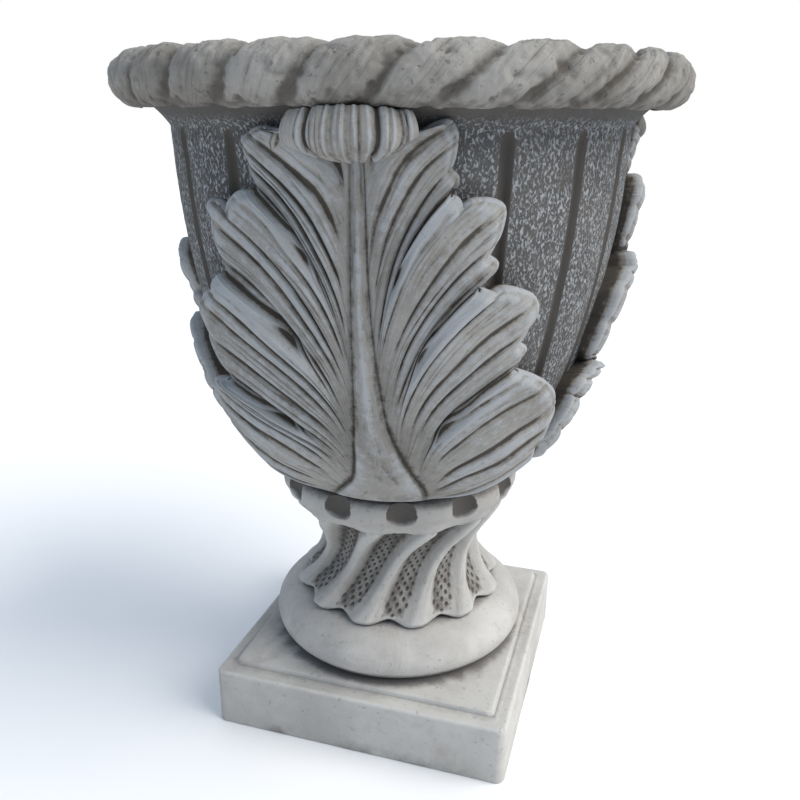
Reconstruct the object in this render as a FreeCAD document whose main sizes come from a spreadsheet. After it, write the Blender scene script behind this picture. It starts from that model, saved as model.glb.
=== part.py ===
import FreeCAD, Part
import Sketcher
import math
import os
from FreeCAD import Rotation, Vector

# A cast-stone garden urn: a square plinth, a round foot cushion and a twisted drapery
# stem make the pedestal. The bowl with its rope rim and three acanthus leaves rests on it.
os.makedirs("parts", exist_ok=True)
doc = FreeCAD.newDocument("stone_urn")

# Driving sizes, in millimetres and degrees, with plain counts and shares among them
driving_sizes = {
    # plinth
    "plinth_side": 323.0,
    "plinth_height": 66.0,
    "plinth_corner_round": 9.0,
    "plinth_edge_round": 4.0,
    "panel_inset": 17.0,
    "panel_height": 7.0,
    "panel_edge_round": 5.0,
    # mortar beds and working clearances
    "bed_thickness": 2.0,
    "bed_inset": 12.0,
    "piece_clearance": 0.3,
    "overrun": 2.0,
    # foot cushion
    "cushion_radius": 144.0,
    "cushion_edge_radius": 30.0,
    "cushion_height": 52.0,
    # centre pipe, which locates the castings and drains the bowl
    "pipe_radius": 24.15,
    "pipe_wall": 3.2,
    "pipe_clearance": 0.5,
    "spigot_height": 24.0,
    "spigot_clearance": 2.0,
    # stem with its hem, ribs and fluted collar
    "stem_height": 149.0,
    "rib_count": 12,
    "stem_twist": 36.0,
    "hem_radius": 114.0,
    "hem_panel_radius": 97.0,
    "neck_radius": 89.0,
    "neck_panel_radius": 80.0,
    "collar_height": 40.0,
    "collar_lip_radius": 108.0,
    "collar_radius": 132.0,
    "collar_seat_radius": 124.0,
    "collar_edge_drop": 12.0,
    "flute_radius": 12.0,
    "flute_height": 26.0,
    "flute_inset": 3.0,
    # bowl
    "bowl_height": 378.0,
    "bowl_foot_radius": 118.0,
    "bowl_top_radius": 222.0,
    "bowl_lift_share": 1.9,
    "bowl_fullness_share": 1.34,
    "bowl_floor": 44.0,
    "bowl_floor_radius": 98.0,
    "bowl_wall": 20.0,
    "shoulder_cove": 22.0,
    "drain_radius": 16.0,
    "groove_count": 18,
    "groove_width": 14.0,
    "groove_depth": 5.0,
    "groove_top_gap": 33.0,
    "groove_foot_gap": 14.0,
    # rope rim and the hoop cast inside it
    "rim_overhang": 27.4,
    "rope_radius": 22.2,
    "rope_lay_height": 3.0,
    "rope_rise": 17.0,
    "rope_turns": 27,
    "rope_strands": 2,
    "rope_start": 54.0,
    "rope_slant_change": 2.0,
    "hoop_radius": 4.0,
    # acanthus leaves and their curled tips
    "leaf_count": 3,
    "leaf_turn": 8.6,
    "leaf_foot_gap": 5.0,
    "leaf_top_gap": 24.0,
    "leaf_half_spread": 52.0,
    "leaf_thickness": 15.0,
    "leaf_foot_thickness": 8.5,
    "leaf_lobe_thickness": 31.0,
    "leaf_lobe_root": 9.0,
    "leaf_lobe_step": 6.0,
    "leaf_lobe_overlap": 9.0,
    "leaf_lobe_crown": 3.0,
    "midrib_half_width": 7.0,
    "midrib_spread_height": 120.0,
    "leaf_foot_half_width": 46.0,
    "leaf_sink": 6.0,
    "leaf_margin": 8.0,
    "curl_radius": 24.0,
    "curl_end_radius": 15.0,
    "curl_half_length": 46.0,
    "curl_drop": 5.0,
    "curl_stand_off": 18.0,
    "dowel_radius": 4.0,
    "dowel_length": 46.0,
    "dowel_drop": 7.0,
    "leaf_dowel_length": 22.0,
    "leaf_dowel_spread": 24.0,
}
sheet = doc.addObject("Spreadsheet::Sheet", "Sizes")
for row, (alias, value) in enumerate(driving_sizes.items(), start=1):
    sheet.set("A%d" % row, alias)
    sheet.set("B%d" % row, str(value))
    sheet.setAlias("B%d" % row, alias)
doc.recompute()


def size(alias):
    return float(sheet.get(alias))


def count(alias):
    return int(round(size(alias)))


def bind(item, bindings):
    for name, formula in bindings.items():
        item.setExpression(name, formula)


def cylinder(name, radius, height, level):
    item = doc.addObject("Part::Cylinder", name)
    bind(item, {"Radius": radius, "Height": height, "Placement.Base.z": level})
    return item


def cut(name, base, tool):
    item = doc.addObject("Part::Cut", name)
    item.Base = base
    item.Tool = tool
    return item


def feature(name, shape):
    item = doc.addObject("Part::Feature", name)
    item.Shape = shape
    return item


def origin_plane(body, role):
    return next(item for item in body.Origin.OriginFeatures if item.Role == role)


# Levels up the urn, as sheet formulas
plinth_top = "Sizes.plinth_height + Sizes.panel_height"
cushion_foot = plinth_top + " + Sizes.bed_thickness"
cushion_top = cushion_foot + " + Sizes.cushion_height"
stem_foot = cushion_top + " + Sizes.bed_thickness"
seat = stem_foot + " + Sizes.stem_height"
shoulder = seat + " + Sizes.bowl_height"
rope_level = shoulder + " + Sizes.rope_rise"
pipe_bore = "Sizes.pipe_radius + Sizes.pipe_clearance"

# The same levels as numbers, for the shapes worked out by formula
stem_foot_z = (size("plinth_height") + size("panel_height") + size("cushion_height")
               + 2 * size("bed_thickness"))
seat_z = stem_foot_z + size("stem_height")
shoulder_z = seat_z + size("bowl_height")
rope_z = shoulder_z + size("rope_rise")
rim_radius = size("bowl_top_radius") + size("rim_overhang")
axis = Vector(0, 0, 1)
centre = Vector(0, 0, 0)
front_angle = -90


# Square sketch about the axis, on the body's own XY plane
def square_sketch(body, name, side, level):
    sketch = body.newObject("Sketcher::SketchObject", name)
    sketch.AttachmentSupport = [(origin_plane(body, "XY_Plane"), "")]
    sketch.MapMode = "FlatFace"
    sketch.setExpression("AttachmentOffset.Base.z", level)
    half = size("plinth_side") / 2
    corners = [Vector(-half, -half, 0), Vector(half, -half, 0),
               Vector(half, half, 0), Vector(-half, half, 0)]
    for start, end in zip(corners, corners[1:] + corners[:1]):
        sketch.addGeometry(Part.LineSegment(start, end))
    for line in range(4):
        following = (line + 1) % 4
        sketch.addConstraint(Sketcher.Constraint("Coincident", line, 2, following, 1))
        direction = "Vertical" if line % 2 else "Horizontal"
        sketch.addConstraint(Sketcher.Constraint(direction, line))
    sketch.addConstraint(Sketcher.Constraint("Symmetric", 0, 1, 1, 2, -1, 1))
    width = sketch.addConstraint(Sketcher.Constraint("DistanceX", 0, 1, 0, 2, 2 * half))
    depth = sketch.addConstraint(Sketcher.Constraint("DistanceY", 1, 1, 1, 2, 2 * half))
    sketch.setExpression("Constraints[%d]" % width, side)
    sketch.setExpression("Constraints[%d]" % depth, side)
    return sketch


# Pad or pocket of a sketch, with its length from the sheet
def extrude(body, kind, name, sketch, length):
    item = body.newObject("PartDesign::" + kind, name)
    item.Profile = sketch
    item.setExpression("Length", length)
    doc.recompute()
    return item


def rounded(body, name, base, chosen, radius):
    item = body.newObject("PartDesign::Fillet", name)
    item.Base = (base, ["Edge%d" % number for number, edge in
                        enumerate(base.Shape.Edges, start=1) if chosen(edge)])
    item.setExpression("Radius", radius)
    doc.recompute()
    return item


def is_upright(edge):
    box = edge.BoundBox
    return box.ZLength > box.XLength + box.YLength


def lies_at(level):
    return lambda edge: (edge.BoundBox.ZLength < size("piece_clearance")
                         and abs(edge.BoundBox.ZMax - level) < size("piece_clearance"))


# Plinth: a square block with rounded corners and a raised square panel on top
plinth = doc.addObject("PartDesign::Body", "plinth")
block_sketch = square_sketch(plinth, "block_outline", "Sizes.plinth_side", "0")
block = extrude(plinth, "Pad", "block", block_sketch, "Sizes.plinth_height")
block_corners = rounded(plinth, "block_corners", block, is_upright, "Sizes.plinth_corner_round")
block_edges = rounded(plinth, "block_edges", block_corners, lies_at(size("plinth_height")),
                      "Sizes.plinth_edge_round")
panel_sketch = square_sketch(plinth, "panel_outline", "Sizes.plinth_side - 2 * Sizes.panel_inset",
                             "Sizes.plinth_height")
panel = extrude(plinth, "Pad", "panel", panel_sketch, "Sizes.panel_height")
panel_edges = rounded(plinth, "panel_edges", panel,
                      lies_at(size("plinth_height") + size("panel_height")),
                      "Sizes.panel_edge_round")
bore_sketch = plinth.newObject("Sketcher::SketchObject", "bore_outline")
bore_sketch.AttachmentSupport = [(origin_plane(plinth, "XY_Plane"), "")]
bore_sketch.MapMode = "FlatFace"
bore_sketch.addGeometry(Part.Circle(centre, axis, size("pipe_radius")))
bore_sketch.addConstraint(Sketcher.Constraint("Coincident", 0, 3, -1, 1))
bore_size = bore_sketch.addConstraint(Sketcher.Constraint("Radius", 0, size("pipe_radius")))
bore_sketch.setExpression("Constraints[%d]" % bore_size, pipe_bore)
bore = extrude(plinth, "Pocket", "bore", bore_sketch, plinth_top + " + Sizes.overrun")
bore.Reversed = True
plinth.Tip = bore
doc.recompute()
if bore.Shape.Volume >= panel_edges.Shape.Volume:
    raise SystemExit("the pipe's bore removes nothing from the plinth")

# Foot cushion: a disc with a full round edge, cut flat where it sits on its bed
cushion_middle = cushion_top + " - Sizes.cushion_edge_radius"
cushion_edge = doc.addObject("Part::Torus", "cushion_edge")
bind(cushion_edge, {"Radius1": "Sizes.cushion_radius - Sizes.cushion_edge_radius",
                    "Radius2": "Sizes.cushion_edge_radius",
                    "Placement.Base.z": cushion_middle})
cushion_core = cylinder("cushion_core", "Sizes.cushion_radius - Sizes.cushion_edge_radius",
                        "2 * Sizes.cushion_edge_radius",
                        cushion_top + " - 2 * Sizes.cushion_edge_radius")
cushion_form = doc.addObject("Part::Fuse", "cushion_form")
cushion_form.Base = cushion_edge
cushion_form.Tool = cushion_core
cushion_space = cylinder("cushion_space", "Sizes.cushion_radius + Sizes.overrun",
                         "Sizes.cushion_height + Sizes.overrun", cushion_foot)
cushion_trim = doc.addObject("Part::Common", "cushion_trim")
cushion_trim.Base = cushion_form
cushion_trim.Tool = cushion_space
cushion_bore = cylinder("cushion_bore", pipe_bore, "Sizes.cushion_height + 2 * Sizes.overrun",
                        cushion_foot + " - Sizes.overrun")
foot_cushion = cut("foot_cushion", cushion_trim, cushion_bore)


# Mortar bed: a thin ring round the pipe, between two castings
def mortar_bed(name, outer_radius, inner_radius, level):
    disc = cylinder(name + "_disc", outer_radius, "Sizes.bed_thickness", level)
    hole = cylinder(name + "_hole", inner_radius, "Sizes.bed_thickness + 2 * Sizes.overrun",
                    level + " - Sizes.overrun")
    return cut(name, disc, hole)


foot_bed = mortar_bed("foot_bed",
                      "Sizes.cushion_radius - Sizes.cushion_edge_radius - Sizes.bed_inset",
                      pipe_bore, plinth_top)
stem_bed = mortar_bed("stem_bed", "Sizes.neck_panel_radius - Sizes.bed_inset", pipe_bore, cushion_top)

# Centre pipe: from the underside of the plinth to a spigot above the collar
pipe_body = cylinder("pipe_body", "Sizes.pipe_radius",
                     seat + " + Sizes.spigot_height - Sizes.bed_thickness", "Sizes.bed_thickness")
pipe_inside = cylinder("pipe_inside", "Sizes.pipe_radius - Sizes.pipe_wall",
                       seat + " + Sizes.spigot_height + 2 * Sizes.overrun", "-Sizes.overrun")
centre_pipe = cut("centre_pipe", pipe_body, pipe_inside)


# Line through pairs of radius and level in the XZ plane, as a chain of three-point arcs
def arc_line(pairs):
    points = [Vector(radius, 0, level) for radius, level in pairs]
    return [Part.Arc(points[place], points[place + 1], points[place + 2]).toShape()
            for place in range(0, len(points) - 2, 2)]


def straight_line(first, last):
    return Part.makeLine(Vector(first[0], 0, first[1]), Vector(last[0], 0, last[1]))


def joined(edges):
    return Part.Wire(Part.__sortEdges__(edges))


# Stem: closed rib sections lofted up the stem. A section's radius runs from the panel's to
# the rib's as a raised cosine of the rib angle, and the ribs turn as they rise.
shaft_height = size("stem_height") - size("collar_height")
hem_stations = [(0.0, 1.0), (0.10, 0.68), (0.28, 0.23), (0.58, 0.0), (0.80, 0.0)]
collar_stations = [(1.0, 0.25), (1.25, 0.70)]
rib_sharpness_share = 1.5
twist_share = 0.8
points_per_rib = 6


def between(first, last, share):
    return first + share * (last - first)


# Section at a share of the shaft's height, flared by a share towards two goal radii
def rib_section(height_share, flare_share, rib_goal, panel_goal):
    rib_radius = between(size("neck_radius"), rib_goal, flare_share)
    panel_radius = between(size("neck_panel_radius"), panel_goal, flare_share)
    level = stem_foot_z + height_share * shaft_height
    turn = math.radians(size("stem_twist")) * min(height_share, 1.0) ** twist_share
    total = count("rib_count") * points_per_rib
    points = []
    for step in range(total):
        along = 2 * math.pi * step / total
        swell = (0.5 + 0.5 * math.cos(count("rib_count") * along)) ** rib_sharpness_share
        radius = between(panel_radius, rib_radius, swell)
        points.append(Vector(radius * math.cos(along + turn), radius * math.sin(along + turn), level))
    outline = Part.BSplineCurve()
    outline.interpolate(points, PeriodicFlag=True)
    return Part.Wire(outline.toShape())


rib_sections = [rib_section(height, flare, size("hem_radius"), size("hem_panel_radius"))
                for height, flare in hem_stations]
rib_sections += [rib_section(height, flare, size("collar_lip_radius"), size("collar_lip_radius"))
                 for height, flare in collar_stations]
ribbed_shaft = Part.makeLoft(rib_sections, True, False)

# Collar: a ring that flares out to the bowl's seat, scooped by upright round flutes
lip_z = seat_z - size("collar_height")
edge_z = seat_z - size("collar_edge_drop")
core_radius = size("neck_panel_radius") - size("bed_inset")
flare_mid = Vector(between(size("collar_lip_radius"), size("collar_radius"), 0.5) - size("overrun"), 0,
                   between(lip_z, edge_z, 0.5) + size("overrun"))
collar_outline = joined([
    Part.Arc(Vector(size("collar_lip_radius"), 0, lip_z), flare_mid,
             Vector(size("collar_radius"), 0, edge_z)).toShape(),
    straight_line((size("collar_radius"), edge_z), (size("collar_seat_radius"), seat_z)),
    straight_line((size("collar_seat_radius"), seat_z), (core_radius, seat_z)),
    straight_line((core_radius, seat_z), (core_radius, lip_z)),
    straight_line((core_radius, lip_z), (size("collar_lip_radius"), lip_z)),
])
collar = Part.Face(collar_outline).revolve(centre, axis, 360)
flute_z = seat_z - size("flute_height") + size("flute_radius")
flute_axis_radius = size("collar_radius") - size("flute_inset")
flutes = []
for rib in range(count("rib_count")):
    turn = 360 / count("rib_count") * (rib + 0.5) + size("stem_twist")
    foot = Rotation(axis, turn).multVec(Vector(flute_axis_radius, 0, flute_z))
    shaft = Part.makeCylinder(size("flute_radius"), size("flute_height") + size("overrun"), foot, axis)
    flutes.append(shaft.fuse(Part.makeSphere(size("flute_radius"), foot)))
stem_bore = Part.makeCylinder(size("pipe_radius") + size("pipe_clearance"),
                              size("stem_height") + 2 * size("overrun"),
                              Vector(0, 0, stem_foot_z - size("overrun")), axis)
drape_stem = feature("drape_stem", ribbed_shaft.fuse(collar).cut(flutes + [stem_bore]))


# Bowl outline: a rounded curve that leaves the foot steeply and ends upright at the shoulder
def bowl_outside(level):
    reach = size("bowl_height") - size("shoulder_cove")
    rise = min(max((level - seat_z) / reach, 0.0), 1.0)
    bulge = (1 - (1 - rise) ** size("bowl_lift_share")) ** (1 / size("bowl_fullness_share"))
    return size("bowl_foot_radius") + bulge * (size("bowl_top_radius") - size("bowl_foot_radius"))


def bowl_inside(level):
    floor_z = seat_z + size("bowl_floor")
    rise = min(max((level - floor_z) / (shoulder_z - floor_z), 0.0), 1.0)
    bulge = (1 - (1 - rise) ** size("bowl_lift_share")) ** (1 / size("bowl_fullness_share"))
    top_radius = size("bowl_top_radius") - size("bowl_wall")
    return size("bowl_floor_radius") + bulge * (top_radius - size("bowl_floor_radius"))


profile_arcs = 4
profile_crowding_share = 1.5


# Pairs of radius and level along an outline, closer together near the low end
def sampled(outline, offset, low, high):
    steps = 2 * profile_arcs
    levels = [low + (high - low) * (step / steps) ** profile_crowding_share
              for step in range(steps + 1)]
    return [(outline(level) + offset, level) for level in levels]


cove_z = shoulder_z - size("shoulder_cove")
cove_radius = size("bowl_top_radius") + size("shoulder_cove")
# The cove is nearly straight: its middle stands off the chord by a small share
cove_hollow_share = 0.05
cove_mid = Vector(cove_radius - size("shoulder_cove") * (0.5 + cove_hollow_share), 0,
                  cove_z + size("shoulder_cove") * (0.5 + cove_hollow_share))
floor_z = seat_z + size("bowl_floor")
outside_line = arc_line(sampled(bowl_outside, 0, seat_z, cove_z))
inside_pairs = sampled(bowl_inside, 0, floor_z, shoulder_z)
bowl_section = joined(outside_line + arc_line(inside_pairs) + [
    Part.Arc(Vector(size("bowl_top_radius"), 0, cove_z), cove_mid,
             Vector(cove_radius, 0, shoulder_z)).toShape(),
    straight_line((cove_radius, shoulder_z), (inside_pairs[-1][0], shoulder_z)),
    straight_line((size("bowl_floor_radius"), floor_z), (size("drain_radius"), floor_z)),
    straight_line((size("drain_radius"), floor_z), (size("drain_radius"), seat_z)),
    straight_line((size("drain_radius"), seat_z), (size("bowl_foot_radius"), seat_z)),
])
bowl_solid = Part.Face(bowl_section).revolve(centre, axis, 360)
socket = Part.makeCylinder(size("pipe_radius") + size("spigot_clearance"),
                           size("spigot_height") + size("spigot_clearance") + size("overrun"),
                           Vector(0, 0, seat_z - size("overrun")), axis)


# Solid between two offsets from the bowl's outline, turned through a span about the axis
def wall_layer(inner, outer, span):
    inner_pairs = sampled(bowl_outside, inner, seat_z, cove_z)
    outer_pairs = sampled(bowl_outside, outer, seat_z, cove_z)
    outline = joined(arc_line(inner_pairs) + arc_line(outer_pairs)
                     + [straight_line(inner_pairs[0], outer_pairs[0]),
                        straight_line(inner_pairs[-1], outer_pairs[-1])])
    layer = Part.Face(outline).revolve(centre, axis, span)
    layer.rotate(centre, axis, -span / 2)
    return layer


# Grooves between the bands: a narrow layer of the wall, trimmed between two levels
groove_low = seat_z + size("groove_foot_gap")
groove_high = shoulder_z - size("groove_top_gap")
groove_angle = math.degrees(size("groove_width") / size("bowl_top_radius"))
groove_reach = Part.makeCylinder(2 * size("bowl_top_radius"), groove_high - groove_low,
                                 Vector(0, 0, groove_low), axis)
groove = wall_layer(-size("groove_depth"), size("overrun"), groove_angle).common(groove_reach)
grooves = []
for step in range(count("groove_count")):
    turn = 360 / count("groove_count") * (step + 0.5) + front_angle + size("leaf_turn")
    copy = groove.copy()
    copy.rotate(centre, axis, turn)
    grooves.append(copy)


# Dowel along a radius at a level, from an inner radius outwards, turned about the axis
def dowel(radius, inner, length, level, turn):
    outward = Rotation(axis, turn).multVec(Vector(1, 0, 0))
    return Part.makeCylinder(radius, length, outward * inner + Vector(0, 0, level), outward)


# Leaf layout: levels and turns that the blades, tips and dowels share
leaf_low = seat_z + size("leaf_foot_gap")
leaf_high = shoulder_z - size("leaf_top_gap")
leaf_height = leaf_high - leaf_low
curl_z = leaf_high - size("curl_drop")
curl_axis_radius = size("bowl_top_radius") + size("curl_stand_off")
tip_dowel_z = curl_z - size("dowel_drop")
tip_dowel_inner = curl_axis_radius + size("curl_radius") / 2 - size("dowel_length")
leaf_dowel_z = (leaf_low + leaf_high) / 2
leaf_dowel_inner = (bowl_outside(leaf_dowel_z) + size("leaf_thickness") / 2
                    - size("leaf_dowel_length"))
leaf_turns = [360 / count("leaf_count") * leaf + front_angle + size("leaf_turn")
              for leaf in range(count("leaf_count"))]
dowel_hole = size("dowel_radius") + size("piece_clearance")
tip_holes = []
leaf_holes = []
tip_pins = []
leaf_pins = []
for turn in leaf_turns:
    tip_holes.append(dowel(dowel_hole, tip_dowel_inner - size("piece_clearance"),
                           size("dowel_length") + 2 * size("piece_clearance"), tip_dowel_z, turn))
    tip_pins.append(dowel(size("dowel_radius"), tip_dowel_inner, size("dowel_length"),
                          tip_dowel_z, turn))
    for side in (-1, 1):
        place = turn + side * size("leaf_dowel_spread")
        leaf_holes.append(dowel(dowel_hole, leaf_dowel_inner - size("piece_clearance"),
                                size("leaf_dowel_length") + 2 * size("piece_clearance"),
                                leaf_dowel_z, place))
        leaf_pins.append(dowel(size("dowel_radius"), leaf_dowel_inner,
                               size("leaf_dowel_length"), leaf_dowel_z, place))
bowl = feature("bowl", bowl_solid.cut([socket] + grooves + tip_holes + leaf_holes))
tip_dowels = feature("tip_dowels", Part.makeCompound(tip_pins))
leaf_dowels = feature("leaf_dowels", Part.makeCompound(leaf_pins))

# Rope rim: a ring whose section is lobed by the strands, which turn round it as they lie.
# Section radius is the rope's plus a cosine of the strands' angle. The strands slant more on
# one side of the urn than on the other. The section is flat where it sits on its bed.
poles_per_turn = 6
poles_per_strand = 18
slant_turn = 10
bed_top_z = shoulder_z + size("bed_thickness")
rope_seat_radius = cove_radius + size("bed_thickness")


def rope_surface():
    around = count("rope_turns") * poles_per_turn
    across = count("rope_strands") * poles_per_strand
    poles = []
    for step in range(around):
        along = 2 * math.pi * step / around
        change = size("rope_slant_change") * math.sin(along - math.radians(front_angle + slant_turn))
        row = []
        for place in range(across):
            about = 2 * math.pi * place / across
            lay = math.cos(count("rope_turns") * along + math.radians(size("rope_start"))
                           - count("rope_strands") * about - change * math.sin(about))
            radius = size("rope_radius") + size("rope_lay_height") * lay
            reach = rim_radius + radius * math.cos(about)
            level = rope_z + radius * math.sin(about)
            if reach < rope_seat_radius:
                level = max(level, bed_top_z)
            row.append(Vector(reach * math.cos(along), reach * math.sin(along), level))
        poles.append(row)
    surface = Part.BSplineSurface()
    surface.buildFromPolesMultsKnots(poles, [1] * (around + 1), [1] * (across + 1),
                                     list(range(around + 1)), list(range(across + 1)),
                                     True, True, 3, 3)
    return surface


rope_solid = Part.Solid(Part.Shell([rope_surface().toShape()]))
if rope_solid.Volume < 0:
    rope_solid.reverse()
hoop_space = Part.makeTorus(rim_radius, size("hoop_radius") + size("piece_clearance"),
                            Vector(0, 0, rope_z), axis)
rope_rim = feature("rope_rim", rope_solid.cut([hoop_space]))
rim_hoop = doc.addObject("Part::Torus", "rim_hoop")
bind(rim_hoop, {"Radius1": "Sizes.bowl_top_radius + Sizes.rim_overhang",
                "Radius2": "Sizes.hoop_radius", "Placement.Base.z": rope_level})
rim_bed = mortar_bed("rim_bed", "Sizes.bowl_top_radius + Sizes.shoulder_cove - Sizes.overrun",
                     "Sizes.bowl_top_radius + Sizes.overrun", shoulder)


# Section of the leaf between two places on the bowl, each an angle from the midrib and a
# level. It stands on a line sunk in the bowl, and its top is an arc through three heights
# above the bowl. All its points lie in the plane through both places and the mean radius.
def leaf_section(low, high, heights):
    middle_turn = math.radians((low[0] + high[0]) / 2)
    outward = Vector(math.cos(middle_turn), math.sin(middle_turn), 0)
    ends = []
    for angle, level in (low, high):
        reach = bowl_outside(level)
        ends.append(Vector(reach * math.cos(math.radians(angle)),
                           reach * math.sin(math.radians(angle)), level))
    chord_middle = (ends[0] + ends[1]) * 0.5
    bulge = bowl_outside(chord_middle.z) - chord_middle.dot(outward)
    sunk = [end - outward * size("leaf_sink") for end in ends]
    crest = chord_middle + outward * (bulge + heights[1])
    top_low = ends[0] + outward * heights[0]
    top_high = ends[1] + outward * heights[2]
    return Part.Wire([Part.makeLine(sunk[0], sunk[1]), Part.makeLine(sunk[1], top_high),
                      Part.Arc(top_high, crest, top_low).toShape(),
                      Part.makeLine(top_low, sunk[0])])


# Solid through sections, straight from each to the next
def ruled_solid(sections):
    solid = Part.makeLoft(sections, True, True)
    if solid.Volume < 0:
        solid.reverse()
    return solid


# Lobes from the foot up, on each side of the midrib: the end of the low edge, the tip and the
# end of the high edge, each as a share of the half spread and a share of the leaf's height
lobe_shares = {
    1: [((1.058, 0.143), (1.019, 0.287), (0.662, 0.450)),
        ((0.665, 0.450), (0.721, 0.607), (0.477, 0.670)),
        ((0.477, 0.670), (0.537, 0.831), (0.352, 0.875)),
        ((0.352, 0.875), (0.350, 1.000), (0.235, 0.990))],
    -1: [((1.058, 0.143), (1.096, 0.255), (0.779, 0.367)),
         ((0.779, 0.367), (0.875, 0.513), (0.623, 0.673)),
         ((0.623, 0.673), (0.658, 0.811), (0.427, 0.874)),
         ((0.427, 0.874), (0.450, 0.989), (0.292, 0.995))],
}
# Where the lobes join the midrib: shares of the half spread and of the leaf's height
join_shares = [(0.42, 0.01), (0.22, 0.10), (0.12, 0.226), (0.062, 0.4355), (0.025, 0.985)]
lobe_height_shares = [1.0, 0.97, 0.77, 0.55]
join_inset_share = 0.5
# Each edge of a lobe bends on its way out: shares across and up of its bend
edge_bend_shares = (0.16, 0.7)
foot_bend_shares = (0.6, 0.15)
lobe_steps = [0.0, 0.35, 0.7]
# Rounded end: shares of the way to the tip, of the width left there and of the height left
lobe_end_shares = [(0.0, 1.0, 1.0), (0.6, 0.8, 0.98), (0.95, 0.35, 0.88)]


def leaf_place(shares):
    return (shares[0] * size("leaf_half_spread"), leaf_low + shares[1] * leaf_height)


def point_between(low, high, share):
    return (between(low[0], high[0], share), between(low[1], high[1], share))


# Place along a lobe's edge, which bends once between the midrib and its end
def edge_place(start, end, bend_shares, share):
    bend = (between(start[0], end[0], bend_shares[0]), between(start[1], end[1], bend_shares[1]))
    return point_between(point_between(start, bend, share), point_between(bend, end, share), share)


# A lobe's height rises from the midrib to its end, mostly over the first part of the way
lobe_rise_share = 0.75
lobe_rise_weight_share = 0.72


def lobe_height(which, share):
    root = size("leaf_lobe_root")
    full = size("leaf_lobe_thickness") * lobe_height_shares[which]
    eased = min(share / lobe_rise_share, 1.0)
    eased = eased * eased * (3 - 2 * eased)
    return between(root, full, lobe_rise_weight_share * eased + (1 - lobe_rise_weight_share) * share)


def leaf_lobe(which, side):
    low_shares, tip_shares, high_shares = lobe_shares[side][which]
    inset = join_inset_share
    starts = [leaf_place((share * inset, rise)) for share, rise in join_shares[which:which + 2]]
    ends = [leaf_place(low_shares), leaf_place(high_shares)]
    tip = leaf_place(tip_shares)
    low_bend = edge_bend_shares if which else foot_bend_shares
    sections = []

    def add(low, high, height, step):
        reach = math.radians(1) * bowl_outside(low[1])
        length = math.hypot((high[0] - low[0]) * reach, high[1] - low[1])
        if which:
            low = point_between(low, high, -size("leaf_lobe_overlap") / length)
        heights = [height - size("leaf_lobe_step") * step, height + size("leaf_lobe_crown") * step,
                   height + size("leaf_lobe_crown") * step]
        sections.append(leaf_section((side * low[0], low[1]), (side * high[0], high[1]), heights))

    for share in lobe_steps:
        low = edge_place(starts[0], ends[0], low_bend, share)
        high = edge_place(starts[1], ends[1], edge_bend_shares, share)
        add(low, high, lobe_height(which, share), share)
    middle = point_between(ends[0], ends[1], 0.5)
    for along_share, width_share, height_share in lobe_end_shares:
        reached = point_between(middle, tip, along_share)
        shift = (reached[0] - middle[0], reached[1] - middle[1])
        low, high = [(reached[0] + (end[0] - middle[0]) * width_share,
                      reached[1] + (end[1] - middle[1]) * width_share) for end in ends]
        add(low, high, lobe_height(which, 1.0) * height_share, width_share)
    return ruled_solid(sections)


# Midrib: a low crowned bar up the leaf that spreads and thins into the leaf's foot
midrib_steps = [0.0, 0.06, 0.14, 0.34, 0.65, 1.0]
midrib_spread_power_share = 2.2
midrib_side_share = 0.7


def leaf_midrib():
    sections = []
    for step in midrib_steps:
        level = leaf_low + step * leaf_height
        rise = min((level - leaf_low) / size("midrib_spread_height"), 1.0)
        spread = (1 - rise) ** midrib_spread_power_share
        half = between(size("midrib_half_width"), size("leaf_foot_half_width"), spread)
        height = between(size("leaf_thickness"), size("leaf_foot_thickness"), spread)
        angle = math.degrees(half / bowl_outside(level))
        side_height = height * midrib_side_share
        sections.append(leaf_section((-angle, level), (angle, level),
                                     [side_height, height, side_height]))
    return ruled_solid(sections)


def leaf_blade():
    span = 2 * (size("leaf_half_spread") + size("leaf_margin"))
    layer = wall_layer(size("piece_clearance"), 2 * size("leaf_lobe_thickness"), span)
    lobes = [leaf_lobe(which, side) for which in range(len(lobe_height_shares)) for side in (-1, 1)]
    return leaf_midrib().fuse(lobes).common(layer)


# Curled tip: a barrel that lies across the leaf's top, thinner at its ends, flat against
# the leaf at its back and hollowed above to clear the rope
curl_stations = 7
curl_end_share = 4


def curled_tip():
    sections = []
    for station in range(curl_stations):
        across = -1 + 2 * station / (curl_stations - 1)
        turn = math.degrees(across * size("curl_half_length") / curl_axis_radius)
        radius = between(size("curl_radius"), size("curl_end_radius"), abs(across) ** curl_end_share)
        place = Rotation(axis, turn).multVec(Vector(curl_axis_radius, 0, curl_z))
        facing = Rotation(axis, turn).multVec(Vector(0, 1, 0))
        sections.append(Part.Wire(Part.makeCircle(radius, place, facing)))
    barrel = Part.makeLoft(sections, True, False)
    back_radius = size("bowl_top_radius") + size("leaf_thickness") + size("piece_clearance")
    back = Part.makeCylinder(back_radius, size("bowl_height"), Vector(0, 0, seat_z), axis)
    rope_space = Part.makeTorus(rim_radius, size("rope_radius") + size("rope_lay_height")
                                + size("piece_clearance"), Vector(0, 0, rope_z), axis)
    return barrel.cut([back, rope_space])


leaf_shape = leaf_blade()
tip_shape = curled_tip()
sub_parts = [plinth, foot_bed, foot_cushion, stem_bed, drape_stem, centre_pipe, bowl, rim_bed,
             rope_rim, rim_hoop, tip_dowels, leaf_dowels]
for name, turn in zip(("front", "right", "left"), leaf_turns):
    blade = leaf_shape.copy()
    blade.rotate(centre, axis, turn)
    sub_parts.append(feature("leaf_" + name, blade.cut(tip_holes + leaf_holes)))
    curl = tip_shape.copy()
    curl.rotate(centre, axis, turn)
    sub_parts.append(feature("leaf_tip_" + name, curl.cut(tip_holes + [blade])))

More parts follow.
